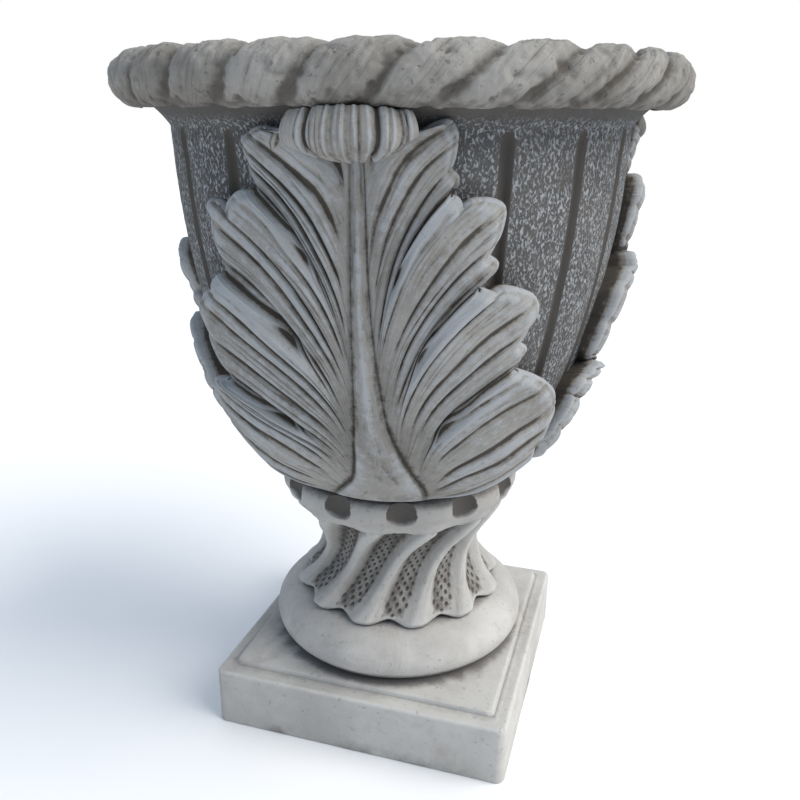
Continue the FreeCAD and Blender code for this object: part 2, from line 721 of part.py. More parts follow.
doc.recompute()
for item in doc.Objects:
    if "Invalid" in item.State or "Error" in item.State:
        raise SystemExit(item.Name + " failed: " + " ".join(item.State))
for item in sub_parts:
    item.Label = item.Name
    shape = item.Shape
    if shape.isNull() or not shape.isValid() or not shape.Solids:
        raise SystemExit(item.Name + " has no valid solid")
    print("%-18s solids %d faces %4d volume %.0f mm3" % (item.Name, len(shape.Solids),
                                                     len(shape.Faces), shape.Volume))
    shape.exportStep("parts/%s.step" % item.Name)
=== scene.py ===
import math
import bpy
import numpy as np
from mathutils import Matrix


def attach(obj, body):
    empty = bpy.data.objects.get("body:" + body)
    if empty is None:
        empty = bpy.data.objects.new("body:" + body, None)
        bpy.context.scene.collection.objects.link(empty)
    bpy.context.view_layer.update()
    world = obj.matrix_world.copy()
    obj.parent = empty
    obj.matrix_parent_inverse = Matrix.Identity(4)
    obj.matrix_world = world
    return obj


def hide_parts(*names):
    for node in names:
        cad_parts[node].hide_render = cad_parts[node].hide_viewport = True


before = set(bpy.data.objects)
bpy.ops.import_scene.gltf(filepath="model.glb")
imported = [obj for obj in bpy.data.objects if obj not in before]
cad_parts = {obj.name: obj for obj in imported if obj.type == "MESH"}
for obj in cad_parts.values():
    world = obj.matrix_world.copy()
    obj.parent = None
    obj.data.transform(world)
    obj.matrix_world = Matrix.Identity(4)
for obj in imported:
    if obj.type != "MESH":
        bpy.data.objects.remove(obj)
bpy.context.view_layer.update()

mm = 0.001


# A dictionary whose values can be read as attributes
class Settings(dict):
    __getattr__ = dict.__getitem__


# Smooth 0 to 1 between two limits
def softStep(low, high, value):
    share = np.clip((value - low) / (high - low), 0, 1)
    return share * share * (3 - 2 * share)


def mix(first, second, share):
    return first + (second - first) * share


# Bell of height 1 about zero
def bell(distance, width):
    return np.exp(-(distance / width) ** 2)


# Azimuth runs from the front (-Y) towards +X, in degrees; lengths are in millimetres
def placed(radius, azimuth, level):
    turn = np.radians(azimuth)
    radius, turn, level = np.broadcast_arrays(radius, turn, level)
    return np.stack([radius * np.sin(turn), -radius * np.cos(turn), level], -1)


# Value noise: a seeded lattice of numbers from -1 to 1, blended smoothly between its points
noiseSide = 32
noiseLattice = np.random.default_rng(11).uniform(-1, 1, (noiseSide,) * 3)


def lumps(points, size):
    place = points / size
    cell = np.floor(place).astype(int)
    share = place - cell
    share = share * share * (3 - 2 * share)
    total = np.zeros(points.shape[:-1])
    for corner in np.ndindex(2, 2, 2):
        weight = np.prod(np.where(corner, share, 1 - share), -1)
        total += weight * noiseLattice[tuple(np.moveaxis((cell + corner) % noiseSide, -1, 0))]
    return total


# Moving average along one axis
def blurred(values, span, axis, wrap):
    edges = [(span, span) if which == axis else (0, 0) for which in (0, 1)]
    total = np.cumsum(np.pad(values, edges, mode="wrap" if wrap else "edge"), axis=axis)
    total = np.insert(total, 0, 0, axis=axis)
    window = 2 * span + 1
    length = values.shape[axis]
    high = np.take(total, np.arange(window, window + length), axis=axis)
    return (high - np.take(total, np.arange(length), axis=axis)) / window


# Relief: how far a height stands above (+) or below (-) its surroundings, as a share of depth
def reliefOf(height, rowSpan, columnSpan, depth, wrapRows=False, wrapColumns=True):
    even = blurred(blurred(height, rowSpan, 0, wrapRows), columnSpan, 1, wrapColumns)
    even = blurred(blurred(even, rowSpan, 0, wrapRows), columnSpan, 1, wrapColumns)
    return np.clip((height - even) / depth, -1, 1)


# Curve through points: a cubic with the chord-weighted mean slope at each point, read off at
# even steps of its length
def smoothLine(points, count, fine=24):
    points = np.array(points, float)
    chord = np.diff(points, axis=0)
    length = np.linalg.norm(chord, axis=1)[:, None]
    slope = chord / length
    inner = (slope[:-1] * length[1:] + slope[1:] * length[:-1]) / (length[1:] + length[:-1])
    slopes = np.vstack([slope[:1], inner, slope[-1:]])
    t = np.linspace(0, 1, fine, endpoint=False)[:, None, None]
    start = points[:-1] * (2 * t**3 - 3 * t**2 + 1) + points[1:] * (3 * t**2 - 2 * t**3)
    bend = slopes[:-1] * (t**3 - 2 * t**2 + t) + slopes[1:] * (t**3 - t**2)
    line = np.vstack([(start + bend * length).transpose(1, 0, 2).reshape(-1, 2), points[-1:]])
    along = np.insert(np.cumsum(np.linalg.norm(np.diff(line, axis=0), axis=1)), 0, 0)
    steps = np.linspace(0, along[-1], count)
    return np.stack([np.interp(steps, along, line[:, 0]), np.interp(steps, along, line[:, 1])], -1)


# Value at a place, read off a smooth line through (place, value) points
def readOff(points, place, count=300):
    return np.interp(place, *smoothLine(points, count).T)


# Azimuths of the columns of a turned piece
def around(columns):
    return np.arange(columns)[None, :] * 360 / columns


def addObject(name, data):
    added = bpy.data.objects.new(name, data)
    bpy.context.scene.collection.objects.link(added)
    return added


# Shell: rows of points, each row a closed loop. The rows close on themselves too, or end in
# caps: one face, or with capStep a strip of faces between a loop's front and its coarser back.
# Flow is a place for each point along and across the grain of its carving, for streaks.
def shell(points, relief, flow=None, closedRows=True, capStep=0):
    flow = np.zeros(points.shape) if flow is None else flow
    return Settings(points=points, relief=relief, flow=flow, closedRows=closedRows,
                    capStep=capStep)


def shellFaces(part):
    points = part.points
    rows, columns = points.shape[:2]
    number = np.arange(rows * columns).reshape(rows, columns)
    lower = number if part.closedRows else number[:-1]
    upper = np.roll(number, -1, axis=0) if part.closedRows else number[1:]
    quads = np.stack([lower, np.roll(lower, -1, axis=1), np.roll(upper, -1, axis=1), upper], -1)
    quads = quads.reshape(-1, 4)
    corner = points.reshape(-1, 3) - points.reshape(-1, 3).mean(0)
    a, b, c, d = (corner[quads[:, k]] for k in range(4))
    volume = np.sum(a * np.cross(b, c)) + np.sum(a * np.cross(c, d))
    faces = [quads]
    if not part.closedRows:
        step = part.capStep
        if step:
            backs = (columns - 1) // (step + 1)
            k = np.arange(backs)[:, None]
            front = (k + 1) * step - np.arange(step + 1)
            loop = np.hstack([front, columns - 1 - k, columns - 2 - k])
        else:
            loop = np.arange(columns)[::-1][None, :]
        faces.append(number[0][loop])
        faces.append(number[-1][loop[:, ::-1]])
    if volume < 0:
        faces = [face[:, ::-1] for face in faces]
    return faces


# Piece: one mesh from its shells, with the flow and a mask of painted shade, painted highlight and
# grime as attributes for its finish
def makePiece(name, shells, finish, body, slotName, *nodes):
    points = np.vstack([part.points.reshape(-1, 3) for part in shells]) * mm
    relief = np.concatenate([part.relief.reshape(-1) for part in shells])
    corners, sizes, first = [], [], 0
    for part in shells:
        for faces in shellFaces(part):
            corners.append((faces + first).reshape(-1))
            sizes.append(np.full(len(faces), faces.shape[1]))
        first += part.relief.size
    corners = np.concatenate(corners)
    sizes = np.concatenate(sizes)
    mesh = bpy.data.meshes.new(name)
    mesh.vertices.add(len(points))
    mesh.vertices.foreach_set("co", points.astype(np.float32).reshape(-1))
    mesh.loops.add(len(corners))
    mesh.loops.foreach_set("vertex_index", corners.astype(np.int32))
    mesh.polygons.add(len(sizes))
    starts = np.insert(np.cumsum(sizes)[:-1], 0, 0)
    mesh.polygons.foreach_set("loop_start", starts.astype(np.int32))
    mesh.polygons.foreach_set("use_smooth", np.ones(len(sizes), bool))
    mesh.update(calc_edges=True)
    mesh.validate()
    flow = np.vstack([part.flow.reshape(-1, 3) for part in shells])
    for label, kind, field, data in (("relief", "FLOAT", "value", relief),
                                     ("flow", "FLOAT_VECTOR", "vector", flow.reshape(-1))):
        attribute = mesh.attributes.new(label, kind, "POINT")
        attribute.data.foreach_set(field, data.astype(np.float32))
    mesh.materials.append(finish)
    piece = addObject(name, mesh)
    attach(piece, body)
    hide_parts(*nodes)
    print("made", name, "with", int(np.sum(sizes - 2)), "triangles")


# Radii and levels of the loops of a turned piece, from pairs that are numbers, rows or grids
def stacked(azimuth, pairs):
    grids = [np.broadcast_arrays(radius, level, azimuth)[:2] for radius, level in pairs]
    return [np.vstack([grid[k] for grid in grids]) for k in (0, 1)]


# A material's nodes. What goes in a socket is a number, a colour or another node's output.
class Graph:
    def __init__(self, name):
        self.finish = bpy.data.materials.new(name)
        self.finish.use_nodes = True
        self.tree = self.finish.node_tree
        self.surface = self.tree.nodes["Principled BSDF"]
        self.place = self.node("ShaderNodeTexCoord", {}, "Object")

    def fill(self, node, sockets):
        for name, value in sockets.items():
            socket = node.inputs[name]
            if isinstance(value, bpy.types.NodeSocket):
                self.tree.links.new(value, socket)
            else:
                socket.default_value = (*value, 1) if socket.type == "RGBA" else value

    def node(self, kind, sockets, output=0, **settings):
        node = self.tree.nodes.new(kind)
        for name, value in settings.items():
            setattr(node, name, value)
        self.fill(node, sockets)
        return node.outputs[output]

    def noise(self, place, scale, detail, roughness, distortion=0.0):
        return self.node("ShaderNodeTexNoise", {
            "Vector": place, "Scale": scale, "Detail": detail, "Roughness": roughness,
            "Distortion": distortion})

    def ramp(self, value, low, high, fromValue=0.0, toValue=1.0):
        return self.node("ShaderNodeMapRange", {
            "Value": value, "From Min": low, "From Max": high, "To Min": fromValue,
            "To Max": toValue}, interpolation_type="SMOOTHSTEP")

    def calc(self, operation, first, second):
        return self.node("ShaderNodeMath", {0: first, 1: second}, operation=operation)

    def cover(self, colour, over, share):
        return self.node("ShaderNodeMix", {0: share, 6: colour, 7: over}, 2, data_type="RGBA")

    def bump(self, height, strength):
        normal = self.node("ShaderNodeBump", {"Height": height, "Strength": strength, "Distance": mm})
        self.fill(self.surface, {"Normal": normal})


# What the stones share. Each adds its two tones and what differs.
baseLook = {
    "stain": (0.36, 0.34, 0.31), "stainShare": 0.25, "driftScale": 7.0, "stainScale": 14.0,
    "mottleScale": 120.0, "breakUp": 0.9, "streakScale": 0.28, "streakShare": 0.0,
    "streakHeight": 0.0,
    # hollow: colour of the painted shade and antiquing in hollows, of dark streaks and of pits; ridge:
    # colour of the painted highlight on ridges and of light streaks
    "hollow": (0.16, 0.15, 0.14), "hollowDepth": 0.8, "hollowShare": 0.75,
    "ridge": (0.66, 0.65, 0.62), "ridgeHeight": 0.8, "ridgeShare": 0.5,
    "fleck": (0.64, 0.63, 0.61), "fleckScale": 260.0, "fleckTwist": 0.0,
    "fleckLow": 0.58, "fleckHigh": 0.7, "fleckShare": 0.2, "fleckHeight": 0.15,
    "fleckStretch": 1.0,
    "pitScale": 160.0, "pitShare": 0.35, "pitDepth": 0.3,
    "grainScale": 420.0, "grainHeight": 0.35, "mottleHeight": 0.5,
    "roughness": 0.88, "specular": 0.22,
}


# Cast stone: its colour drifts between two tones, is stained in patches and streaked along the flow.
# By a mask it is darker in hollows, as painted shade and antiquing, and lighter on ridges, as a
# painted highlight; each piece adds painted shadows to the mask. Then flecks and pits.
def stoneFinish(name, **changes):
    look = Settings({**baseLook, **changes})
    graph = Graph(name)
    place, ramp, calc = graph.place, graph.ramp, graph.calc
    # The mask read here paints shade and antiquing into hollows below zero, and a highlight onto ridges
    # above zero
    relief = graph.node("ShaderNodeAttribute", {}, "Fac", attribute_name="relief")
    flow = graph.node("ShaderNodeAttribute", {}, "Vector", attribute_name="flow")
    streak = graph.noise(flow, look.streakScale, 6.0, 0.62, 0.4)
    drift = graph.noise(place, look.driftScale, 5.0, 0.6)
    stain = graph.noise(place, look.stainScale, 8.0, 0.68, 0.6)
    mottle = graph.noise(place, look.mottleScale, 9.0, 0.76)
    broken = calc("ADD", relief, calc("MULTIPLY", calc("SUBTRACT", mottle, 0.5), look.breakUp))
    stretched = graph.node("ShaderNodeMapping",
                           {"Vector": place, "Scale": (1.0, 1.0, look.fleckStretch)})
    fleck = graph.noise(stretched, look.fleckScale, 3.0, 0.6, look.fleckTwist)
    spots = calc("MULTIPLY", ramp(fleck, look.fleckLow, look.fleckHigh, 0.0, look.fleckShare),
                 ramp(relief, -0.42, -0.12))
    pit = ramp(graph.noise(place, look.pitScale, 2.0, 0.5), 0.36, 0.27)

    colour = graph.cover(look.tone, look.otherTone, ramp(drift, 0.36, 0.64))
    for over, share in (
            (look.stain, ramp(stain, 0.52, 0.72, 0.0, look.stainShare)),
            (look.hollow, ramp(streak, 0.47, 0.30, 0.0, look.streakShare)),
            (look.ridge, ramp(streak, 0.54, 0.72, 0.0, look.streakShare)),
            (look.hollow, ramp(broken, -0.05, -look.hollowDepth, 0.0, look.hollowShare)),
            (look.ridge, ramp(broken, 0.05, look.ridgeHeight, 0.0, look.ridgeShare)),
            (look.fleck, spots), (look.hollow, calc("MULTIPLY", pit, look.pitShare))):
        colour = graph.cover(colour, over, share)

    height = calc("MULTIPLY", graph.noise(place, look.grainScale, 8.0, 0.7), look.grainHeight)
    for mark, size in ((spots, look.fleckHeight), (streak, look.streakHeight),
                       (pit, -look.pitDepth), (mottle, look.mottleHeight)):
        height = calc("ADD", height, calc("MULTIPLY", mark, size))
    graph.bump(height, 1.0)
    graph.fill(graph.surface, {"Base Color": colour, "Roughness": look.roughness,
                               "Specular IOR Level": look.specular})
    return graph.finish


# Steel: zinc spangle over grey, scratched by fine noise, rusted in patches
def steelFinish(name, **values):
    look = Settings(values)
    graph = Graph(name)
    spangle = graph.node("ShaderNodeTexVoronoi",
                         {"Vector": graph.place, "Scale": look.spangleScale}, "Color")
    rust = graph.ramp(graph.noise(graph.place, look.rustScale, 7.0, 0.7), 0.56, 0.68)
    colour = graph.cover(graph.cover(look.tone, look.otherTone, spangle), look.rust, rust)
    graph.bump(graph.noise(graph.place, look.scratchScale, 6.0, 0.7), look.scratchStrength)
    graph.fill(graph.surface, {
        "Base Color": colour, "Metallic": look.metallic,
        "Roughness": graph.ramp(rust, 0.0, 1.0, look.cleanRoughness, look.rustRoughness)})
    return graph.finish


pedestalStone = stoneFinish(
    "pedestalStone", tone=(0.39, 0.374, 0.352), otherTone=(0.53, 0.513, 0.482),
    stain=(0.27, 0.24, 0.212), stainShare=0.45, hollow=(0.12, 0.11, 0.105), pitShare=0.2,
    fleckShare=0.12)
stemStone = stoneFinish(
    "stemStone", tone=(0.36, 0.345, 0.32), otherTone=(0.45, 0.435, 0.41),
    stain=(0.26, 0.225, 0.19), stainShare=0.5, hollow=(0.075, 0.066, 0.058), hollowShare=0.9,
    ridge=(0.52, 0.51, 0.49), ridgeShare=0.6, pitShare=0.2, fleckShare=0.1, streakShare=0.25,
    streakHeight=0.5)
# The leaf's bluish ridge colour is a painted highlight of skylight
leafStone = stoneFinish(
    "leafStone", tone=(0.25, 0.236, 0.214), otherTone=(0.345, 0.33, 0.303),
    stain=(0.17, 0.14, 0.11), stainShare=0.8, stainScale=10.0, breakUp=1.7,
    hollow=(0.058, 0.047, 0.037), hollowShare=0.9, hollowDepth=0.75, ridge=(0.40, 0.415, 0.43),
    ridgeShare=0.75, ridgeHeight=0.6, streakShare=0.6, streakHeight=2.6, pitShare=0.15,
    fleckShare=0.12, grainHeight=0.6)
bowlStone = stoneFinish(
    "bowlStone", tone=(0.082, 0.08, 0.078), otherTone=(0.12, 0.116, 0.108),
    stain=(0.17, 0.15, 0.125), stainShare=0.35, hollow=(0.085, 0.076, 0.067), hollowShare=0.9,
    hollowDepth=0.6, ridge=(0.17, 0.168, 0.162), ridgeShare=0.3, fleckStretch=0.6,
    fleck=(0.40, 0.405, 0.41), fleckScale=450.0, fleckTwist=0.5, fleckLow=0.46, fleckHigh=0.60,
    fleckShare=0.85, fleckHeight=1.3, pitShare=0.1, streakScale=0.10, streakShare=0.25)
ropeStone = stoneFinish(
    "ropeStone", tone=(0.25, 0.233, 0.207), otherTone=(0.37, 0.352, 0.322),
    stain=(0.15, 0.13, 0.108), stainShare=0.75, stainScale=20.0, hollow=(0.085, 0.073, 0.061),
    hollowShare=0.8, hollowDepth=1.1, ridge=(0.42, 0.405, 0.375), ridgeShare=0.6,
    grainHeight=0.9, mottleHeight=1.8, pitDepth=0.8, streakShare=0.45,
    streakHeight=2.2, fleckShare=0.1)
mortarFinish = stoneFinish(
    "mortarFinish", tone=(0.19, 0.185, 0.175), otherTone=(0.26, 0.25, 0.235), grainHeight=0.8,
    fleckShare=0.4, fleckHeight=0.6)
steel = steelFinish(
    "galvanisedSteel", tone=(0.42, 0.43, 0.44), otherTone=(0.56, 0.57, 0.58), spangleScale=90.0,
    rust=(0.20, 0.10, 0.055), rustScale=35.0, cleanRoughness=0.38, rustRoughness=0.85,
    metallic=0.85, scratchScale=300.0, scratchStrength=0.6)
for finish, nodeNames in ((mortarFinish, ("foot_bed", "stem_bed", "rim_bed")),
                          (steel, ("centre_pipe", "rim_hoop", "tip_dowels", "leaf_dowels"))):
    for nodeName in nodeNames:
        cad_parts[nodeName].material_slots[0].material = finish
print("finishes made")


# Camera: stands off the urn's axis, at a height, turned to an azimuth and pitched down
photoCamera = Settings(standOff=868.0, height=648.0, azimuth=17.107, pitch=19.255, roll=0.317,
                       focal=37.30, sensor=36.0)


def placeCamera(view):
    data = bpy.data.cameras.new("photoCamera")
    data.lens = view.focal
    data.sensor_width = view.sensor
    data.clip_start = 0.05
    camera = addObject("photoCamera", data)
    azimuth = math.radians(view.azimuth)
    stand = placed(view.standOff, view.azimuth, view.height) * mm
    camera.matrix_world = (Matrix.Translation(stand) @ Matrix.Rotation(azimuth, 4, "Z")
                           @ Matrix.Rotation(math.radians(90 - view.pitch), 4, "X")
                           @ Matrix.Rotation(math.radians(view.roll), 4, "Z"))
    bpy.context.scene.camera = camera


placeCamera(photoCamera)
print("camera placed")

# Bores: for the pipe through the pedestal, the bowl's socket over it, and the drain
bores = Settings(pipe=24.65, socket=26.15, drain=16.0)


# Plinth: a section led round a rounded square. Each side is a straight run and a corner arc,
# split at the same share on every size, so that its rows line up.
plinthShape = Settings(
    halfSide=161.4, corner=9.0, height=66.0, edgeRound=4.0,
    panelInset=17.0, panelHeight=7.0, panelCorner=6.0, panelRound=3.2,
    footRound=2.0, panelTuck=2.0, slopeDrop=0.4, arcRows=6, sideRows=22,
    slopeRows=5,
    # shares of the way from the edge to the bore, under the foot and on top
    footShares=(1, 0.66, 0.33), topShares=(0.04, 0.12, 0.25, 0.4, 0.6, 0.8, 1),
    # radii and least level of the painted shade round the cushion, and height of the darkening at the
    # foot
    shade=(149, 126), shadeLevel=70, damp=26,
    perSide=110, straightShare=0.86, wear=0.5,
)


def squareLoop(half, corner, columns, straightShare):
    share = np.arange(4 * columns) / columns
    side = np.floor(share)
    within = share - side
    run = np.clip(within / straightShare, 0, 1)
    bend = np.clip((within - straightShare) / (1 - straightShare), 0, 1) * math.pi / 2
    x = mix(-1, 1, run) * (half - corner) + corner * np.sin(bend)
    y = -(half - corner) - corner * np.cos(bend)
    turn = side * math.pi / 2
    return np.stack([x * np.cos(turn) - y * np.sin(turn), x * np.sin(turn) + y * np.cos(turn)], -1)


def plinthShell(s):
    top = s.height
    panel = s.halfSide - s.panelInset
    quarter = np.radians(np.linspace(0, 90, s.arcRows))
    ring = []  # half side, corner, level

    def arc(half, corner, level, size, start):
        for angle in quarter:
            turn = angle + math.radians(start)
            ring.append((half + size * math.cos(turn), corner + size * math.cos(turn),
                         level + size * math.sin(turn)))

    arc(s.halfSide - s.footRound, s.corner - s.footRound, s.footRound, s.footRound, -90)
    for level in np.linspace(3 * s.footRound, top - s.edgeRound - 1, s.sideRows):
        ring.append((s.halfSide, s.corner, level))
    arc(s.halfSide - s.edgeRound, s.corner - s.edgeRound, top - s.edgeRound,
        s.edgeRound, 0)
    for share in np.linspace(0.15, 0.8, s.slopeRows):
        ring.append((mix(s.halfSide - s.edgeRound, panel + s.panelRound, share),
                     s.panelCorner, top - s.slopeDrop * share))
    for angle in quarter[::-1]:
        ring.append((panel + s.panelRound * (1 - math.sin(angle)), s.panelCorner,
                     top + s.panelRound * (1 - math.cos(angle)) - s.slopeDrop))
    arc(panel - s.panelRound, s.panelCorner - s.panelTuck, top + s.panelHeight - s.panelRound,
        s.panelRound, 0)
    outer = np.array([np.column_stack([squareLoop(half, corner, s.perSide, s.straightShare),
                                       np.full(4 * s.perSide, level)])
                      for half, corner, level in ring])
    bearing = np.arctan2(outer[-1, :, 1], outer[-1, :, 0])
    bore = bores.pipe * np.stack([np.cos(bearing), np.sin(bearing)], -1)

    def toBore(loop, level, shares):
        flat = [mix(loop[:, :2], bore, share) for share in shares]
        return np.array([np.column_stack([xy, np.full(len(xy), level)]) for xy in flat])

    high = top + s.panelHeight
    loops = np.concatenate([toBore(outer[0], 0, s.footShares), outer,
                            toBore(outer[-1], high, s.topShares)])
    first = len(s.footShares)
    edgeRow = first + s.arcRows + s.sideRows + s.arcRows // 2
    coveRow = first + 2 * s.arcRows + s.sideRows + s.slopeRows + 1
    wear = lumps(loops, 38.0) * 0.6 + lumps(loops, 11.0) * 0.4
    worn = slice(first, -1)
    loops[worn, :, :2] *= (1 - s.wear / s.halfSide * (0.5 + 0.5 * wear))[worn, :, None]
    loops[len(outer):-1, :, 2] -= 0.35 * (0.5 + 0.5 * wear[len(outer):-1])
    relief = np.zeros(loops.shape[:2])
    rows = np.arange(len(loops))[:, None]
    # Painted shade in the cove at the raised panel's foot, a painted highlight along the rounded top
    # edge, and painted shade round the cushion
    relief -= 0.35 * bell(rows - coveRow, 2.5)
    relief += 0.5 * bell(rows - edgeRow, 2.0)
    x, y, level = np.moveaxis(loops, -1, 0)
    relief -= 1.3 * softStep(*s.shade, np.hypot(x, y)) * (level > s.shadeLevel)
    # Darker towards the foot, in patches
    relief -= 0.5 * softStep(s.damp, 0, level) * (0.5 + lumps(loops, 30.0))
    return shell(loops, relief)


makePiece("plinth_slab", [plinthShell(plinthShape)], pedestalStone, "pedestal", "pedestal_stone",
          "plinth")

# Foot cushion: a section turned about the axis, tucked in at its foot
cushionShape = Settings(
    # radius and level up the section, from the bore under the foot to the bore on top
    section=[(24.65, 75), (80, 75), (122, 75), (131, 76.5), (138, 82), (142.6, 89), (144, 96.5),
             (142, 105), (136, 113.5), (127, 120.5), (116, 124.8), (104, 126.7), (90, 127),
             (60, 127), (24.65, 127)],
    rows=96, columns=300, wear=0.5,
)


def cushionShell(s):
    foot, top = s.section[0][1], s.section[-1][1]
    widest = max(radius for radius, level in s.section)
    line = smoothLine(s.section, s.rows)
    loops = placed(line[:, :1], around(s.columns), np.clip(line[:, 1:], foot, top))
    swell = lumps(loops, 60.0)
    body = softStep(40, 90, line[:, :1])
    loops[..., :2] *= (1 - s.wear / widest * (0.5 + 0.5 * swell) * body)[..., None]
    # Painted shade: darker where the section tucks in at the foot, and at the flat top under the stem
    relief = -1.5 * softStep(foot + 16, foot + 2, loops[..., 2]) * softStep(90, 120, line[:, :1])
    relief -= 0.8 * softStep(top - 3, top, loops[..., 2]) * (0.7 + 0.5 * swell)
    return shell(loops, relief)


makePiece("cushion_foot", [cushionShell(cushionShape)], pedestalStone, "pedestal",
          "pedestal_stone", "foot_cushion")

# Stem: 12 twisted cords, which rise with soft flanks from a pierced drapery between them, under
# a fluted collar whose lower edge arches from cord to cord
stemShape = Settings(
    ribCount=12, footAzimuth=-3.9, twist=37.0, foot=129.0, lip=237.0, seat=278.0,
    # level and radius of the cords' crests and of the panels between them
    ribLine=[(126, 119), (131, 119), (138, 114), (147, 105.5), (158, 98), (172, 92.5),
             (185, 91), (198, 94.5), (212, 102), (225, 111), (237, 117.5), (246, 117.5)],
    panelLine=[(126, 108), (131, 108), (137, 104.5), (145, 97.5), (155, 88.5), (170, 80.5),
               (185, 78), (200, 79.5), (215, 84), (228, 91), (237, 97), (246, 99)],
    collarLine=[(226, 104.0), (232, 105.5), (237, 108.5), (241, 112.5), (247, 119.3),
                (253, 125.5), (259, 129.3), (265, 130.6), (270, 130), (274.5, 128),
                (277.2, 125.5), (278, 124)],
    # share of half the pitch at which a cord has fallen to half its height, by level
    ribShares=[(126, 0.50), (133, 0.47), (145, 0.38), (180, 0.36), (205, 0.36), (225, 0.42)],
    hemRibLevel=127.3, hemPanelLevel=132.5, archTop=238.0, archFoot=231.0,
    fluteRadius=17.0, fluteLevel=266.0, fluteAxis=137.0,
    cordPower=3.6, hemRise=1.6, panelRadius=84, collarRadius=130, barStand=7.0,
    barFoot=232.0,
    pitSpacing=6.4, pitRadius=1.75, pitDepth=2.6,
    columns=840, drapeRows=112, collarRows=66, splitLevel=246.0,
)


# Place across a cord's pitch, in degrees from the nearest crest
def acrossCord(s, azimuth, level):
    pitch = 360 / s.ribCount
    rise = np.clip((level - s.foot) / (s.lip - s.foot), 0, 1)
    crest = s.footAzimuth + s.twist * (0.82 * rise + 0.18 * rise**2)
    return (azimuth - crest + pitch / 2) % pitch - pitch / 2


# A stem casting's loops: its face, and plain ones under and over it; the ones under take painted
# shade, the ones over are a little darker. All wear but the first and last few.
def stemLoops(azimuth, below, radius, level, above, relief, stillFirst, stillLast):
    radii, levels = stacked(azimuth, below + [(radius, level)] + above)
    relief = np.pad(relief, ((len(below), len(above)), (0, 0)),
                    constant_values=((-0.9, -0.2), (0, 0)))
    loops = placed(radii, azimuth, levels)
    wear = lumps(loops, 17.0) * 0.5 + lumps(loops, 6.0) * 0.25
    wear[:stillFirst] = wear[-stillLast:] = 0
    return placed(radii + wear, azimuth, levels), levels, relief


def drapeShell(s):
    azimuth = around(s.columns)
    half = 180 / s.ribCount
    low = np.abs(acrossCord(s, azimuth, 130.0)) / half
    hem = mix(s.hemRibLevel, s.hemPanelLevel, softStep(0.25, 1.0, low))
    share = np.linspace(0, 1, s.drapeRows)[:, None]
    level = hem + s.hemRise + (s.splitLevel - hem - s.hemRise) * share
    side = acrossCord(s, azimuth, level)
    away = np.abs(side) / half
    ribShare = np.interp(level, *np.array(s.ribShares).T)
    rib = 1 / (1 + (away / ribShare) ** s.cordPower)
    rib = (rib - 0.03) / 0.97
    crest = readOff(s.ribLine, level, 200) - 3.5 * softStep(133, 127, level)
    panel = readOff(s.panelLine, level, 200)
    radius = mix(panel, crest, rib)

    # Pits in a grid turned by 45 degrees down each panel
    inPanel = softStep(ribShare + 0.10, ribShare + 0.26, away) * softStep(134, 138, level)
    length = (side - np.sign(side) * half) * np.pi / 180 * s.panelRadius
    first = (length + level) / (s.pitSpacing * math.sqrt(2))
    second = (level - length) / (s.pitSpacing * math.sqrt(2))
    off = np.hypot(first - np.round(first), second - np.round(second)) * s.pitSpacing * 1.2
    size = s.pitRadius * (0.85 + 0.2 * softStep(185, 150, level))
    pits = softStep(size * 1.25, size * 0.55, off) * inPanel
    radius = radius - s.pitDepth * pits
    # Painted shade in the pits and between the cords under the collar's lip; the panels a little darker
    relief = reliefOf(radius + s.pitDepth * pits, 4, 10, 4.0) * 0.75 - 1.3 * pits
    relief = relief - 0.28 * inPanel - 0.9 * (1 - rib) * softStep(232, 238, level)

    hemRadius = radius[:1]
    below = [(bores.pipe, s.foot), (60, s.foot), (84, s.foot),
             (hemRadius - 9, np.maximum(hem - 0.5, s.foot) + 0.6),
             (hemRadius - 5.5, hem - 0.6), (hemRadius - 2.6, hem - 1.1), (hemRadius - 0.8, hem - 0.3)]
    top = s.splitLevel
    above = [(80, top), (50, top), (bores.pipe, top), (bores.pipe, 180)]
    points, levels, relief = stemLoops(azimuth, below, radius, level, above, relief, 4, 4)
    across = acrossCord(s, azimuth, levels)
    flow = np.stack([across * 1.5, levels * 0.06, np.round((azimuth - across) / 30) * 9.0], -1)
    return shell(points, relief, flow)


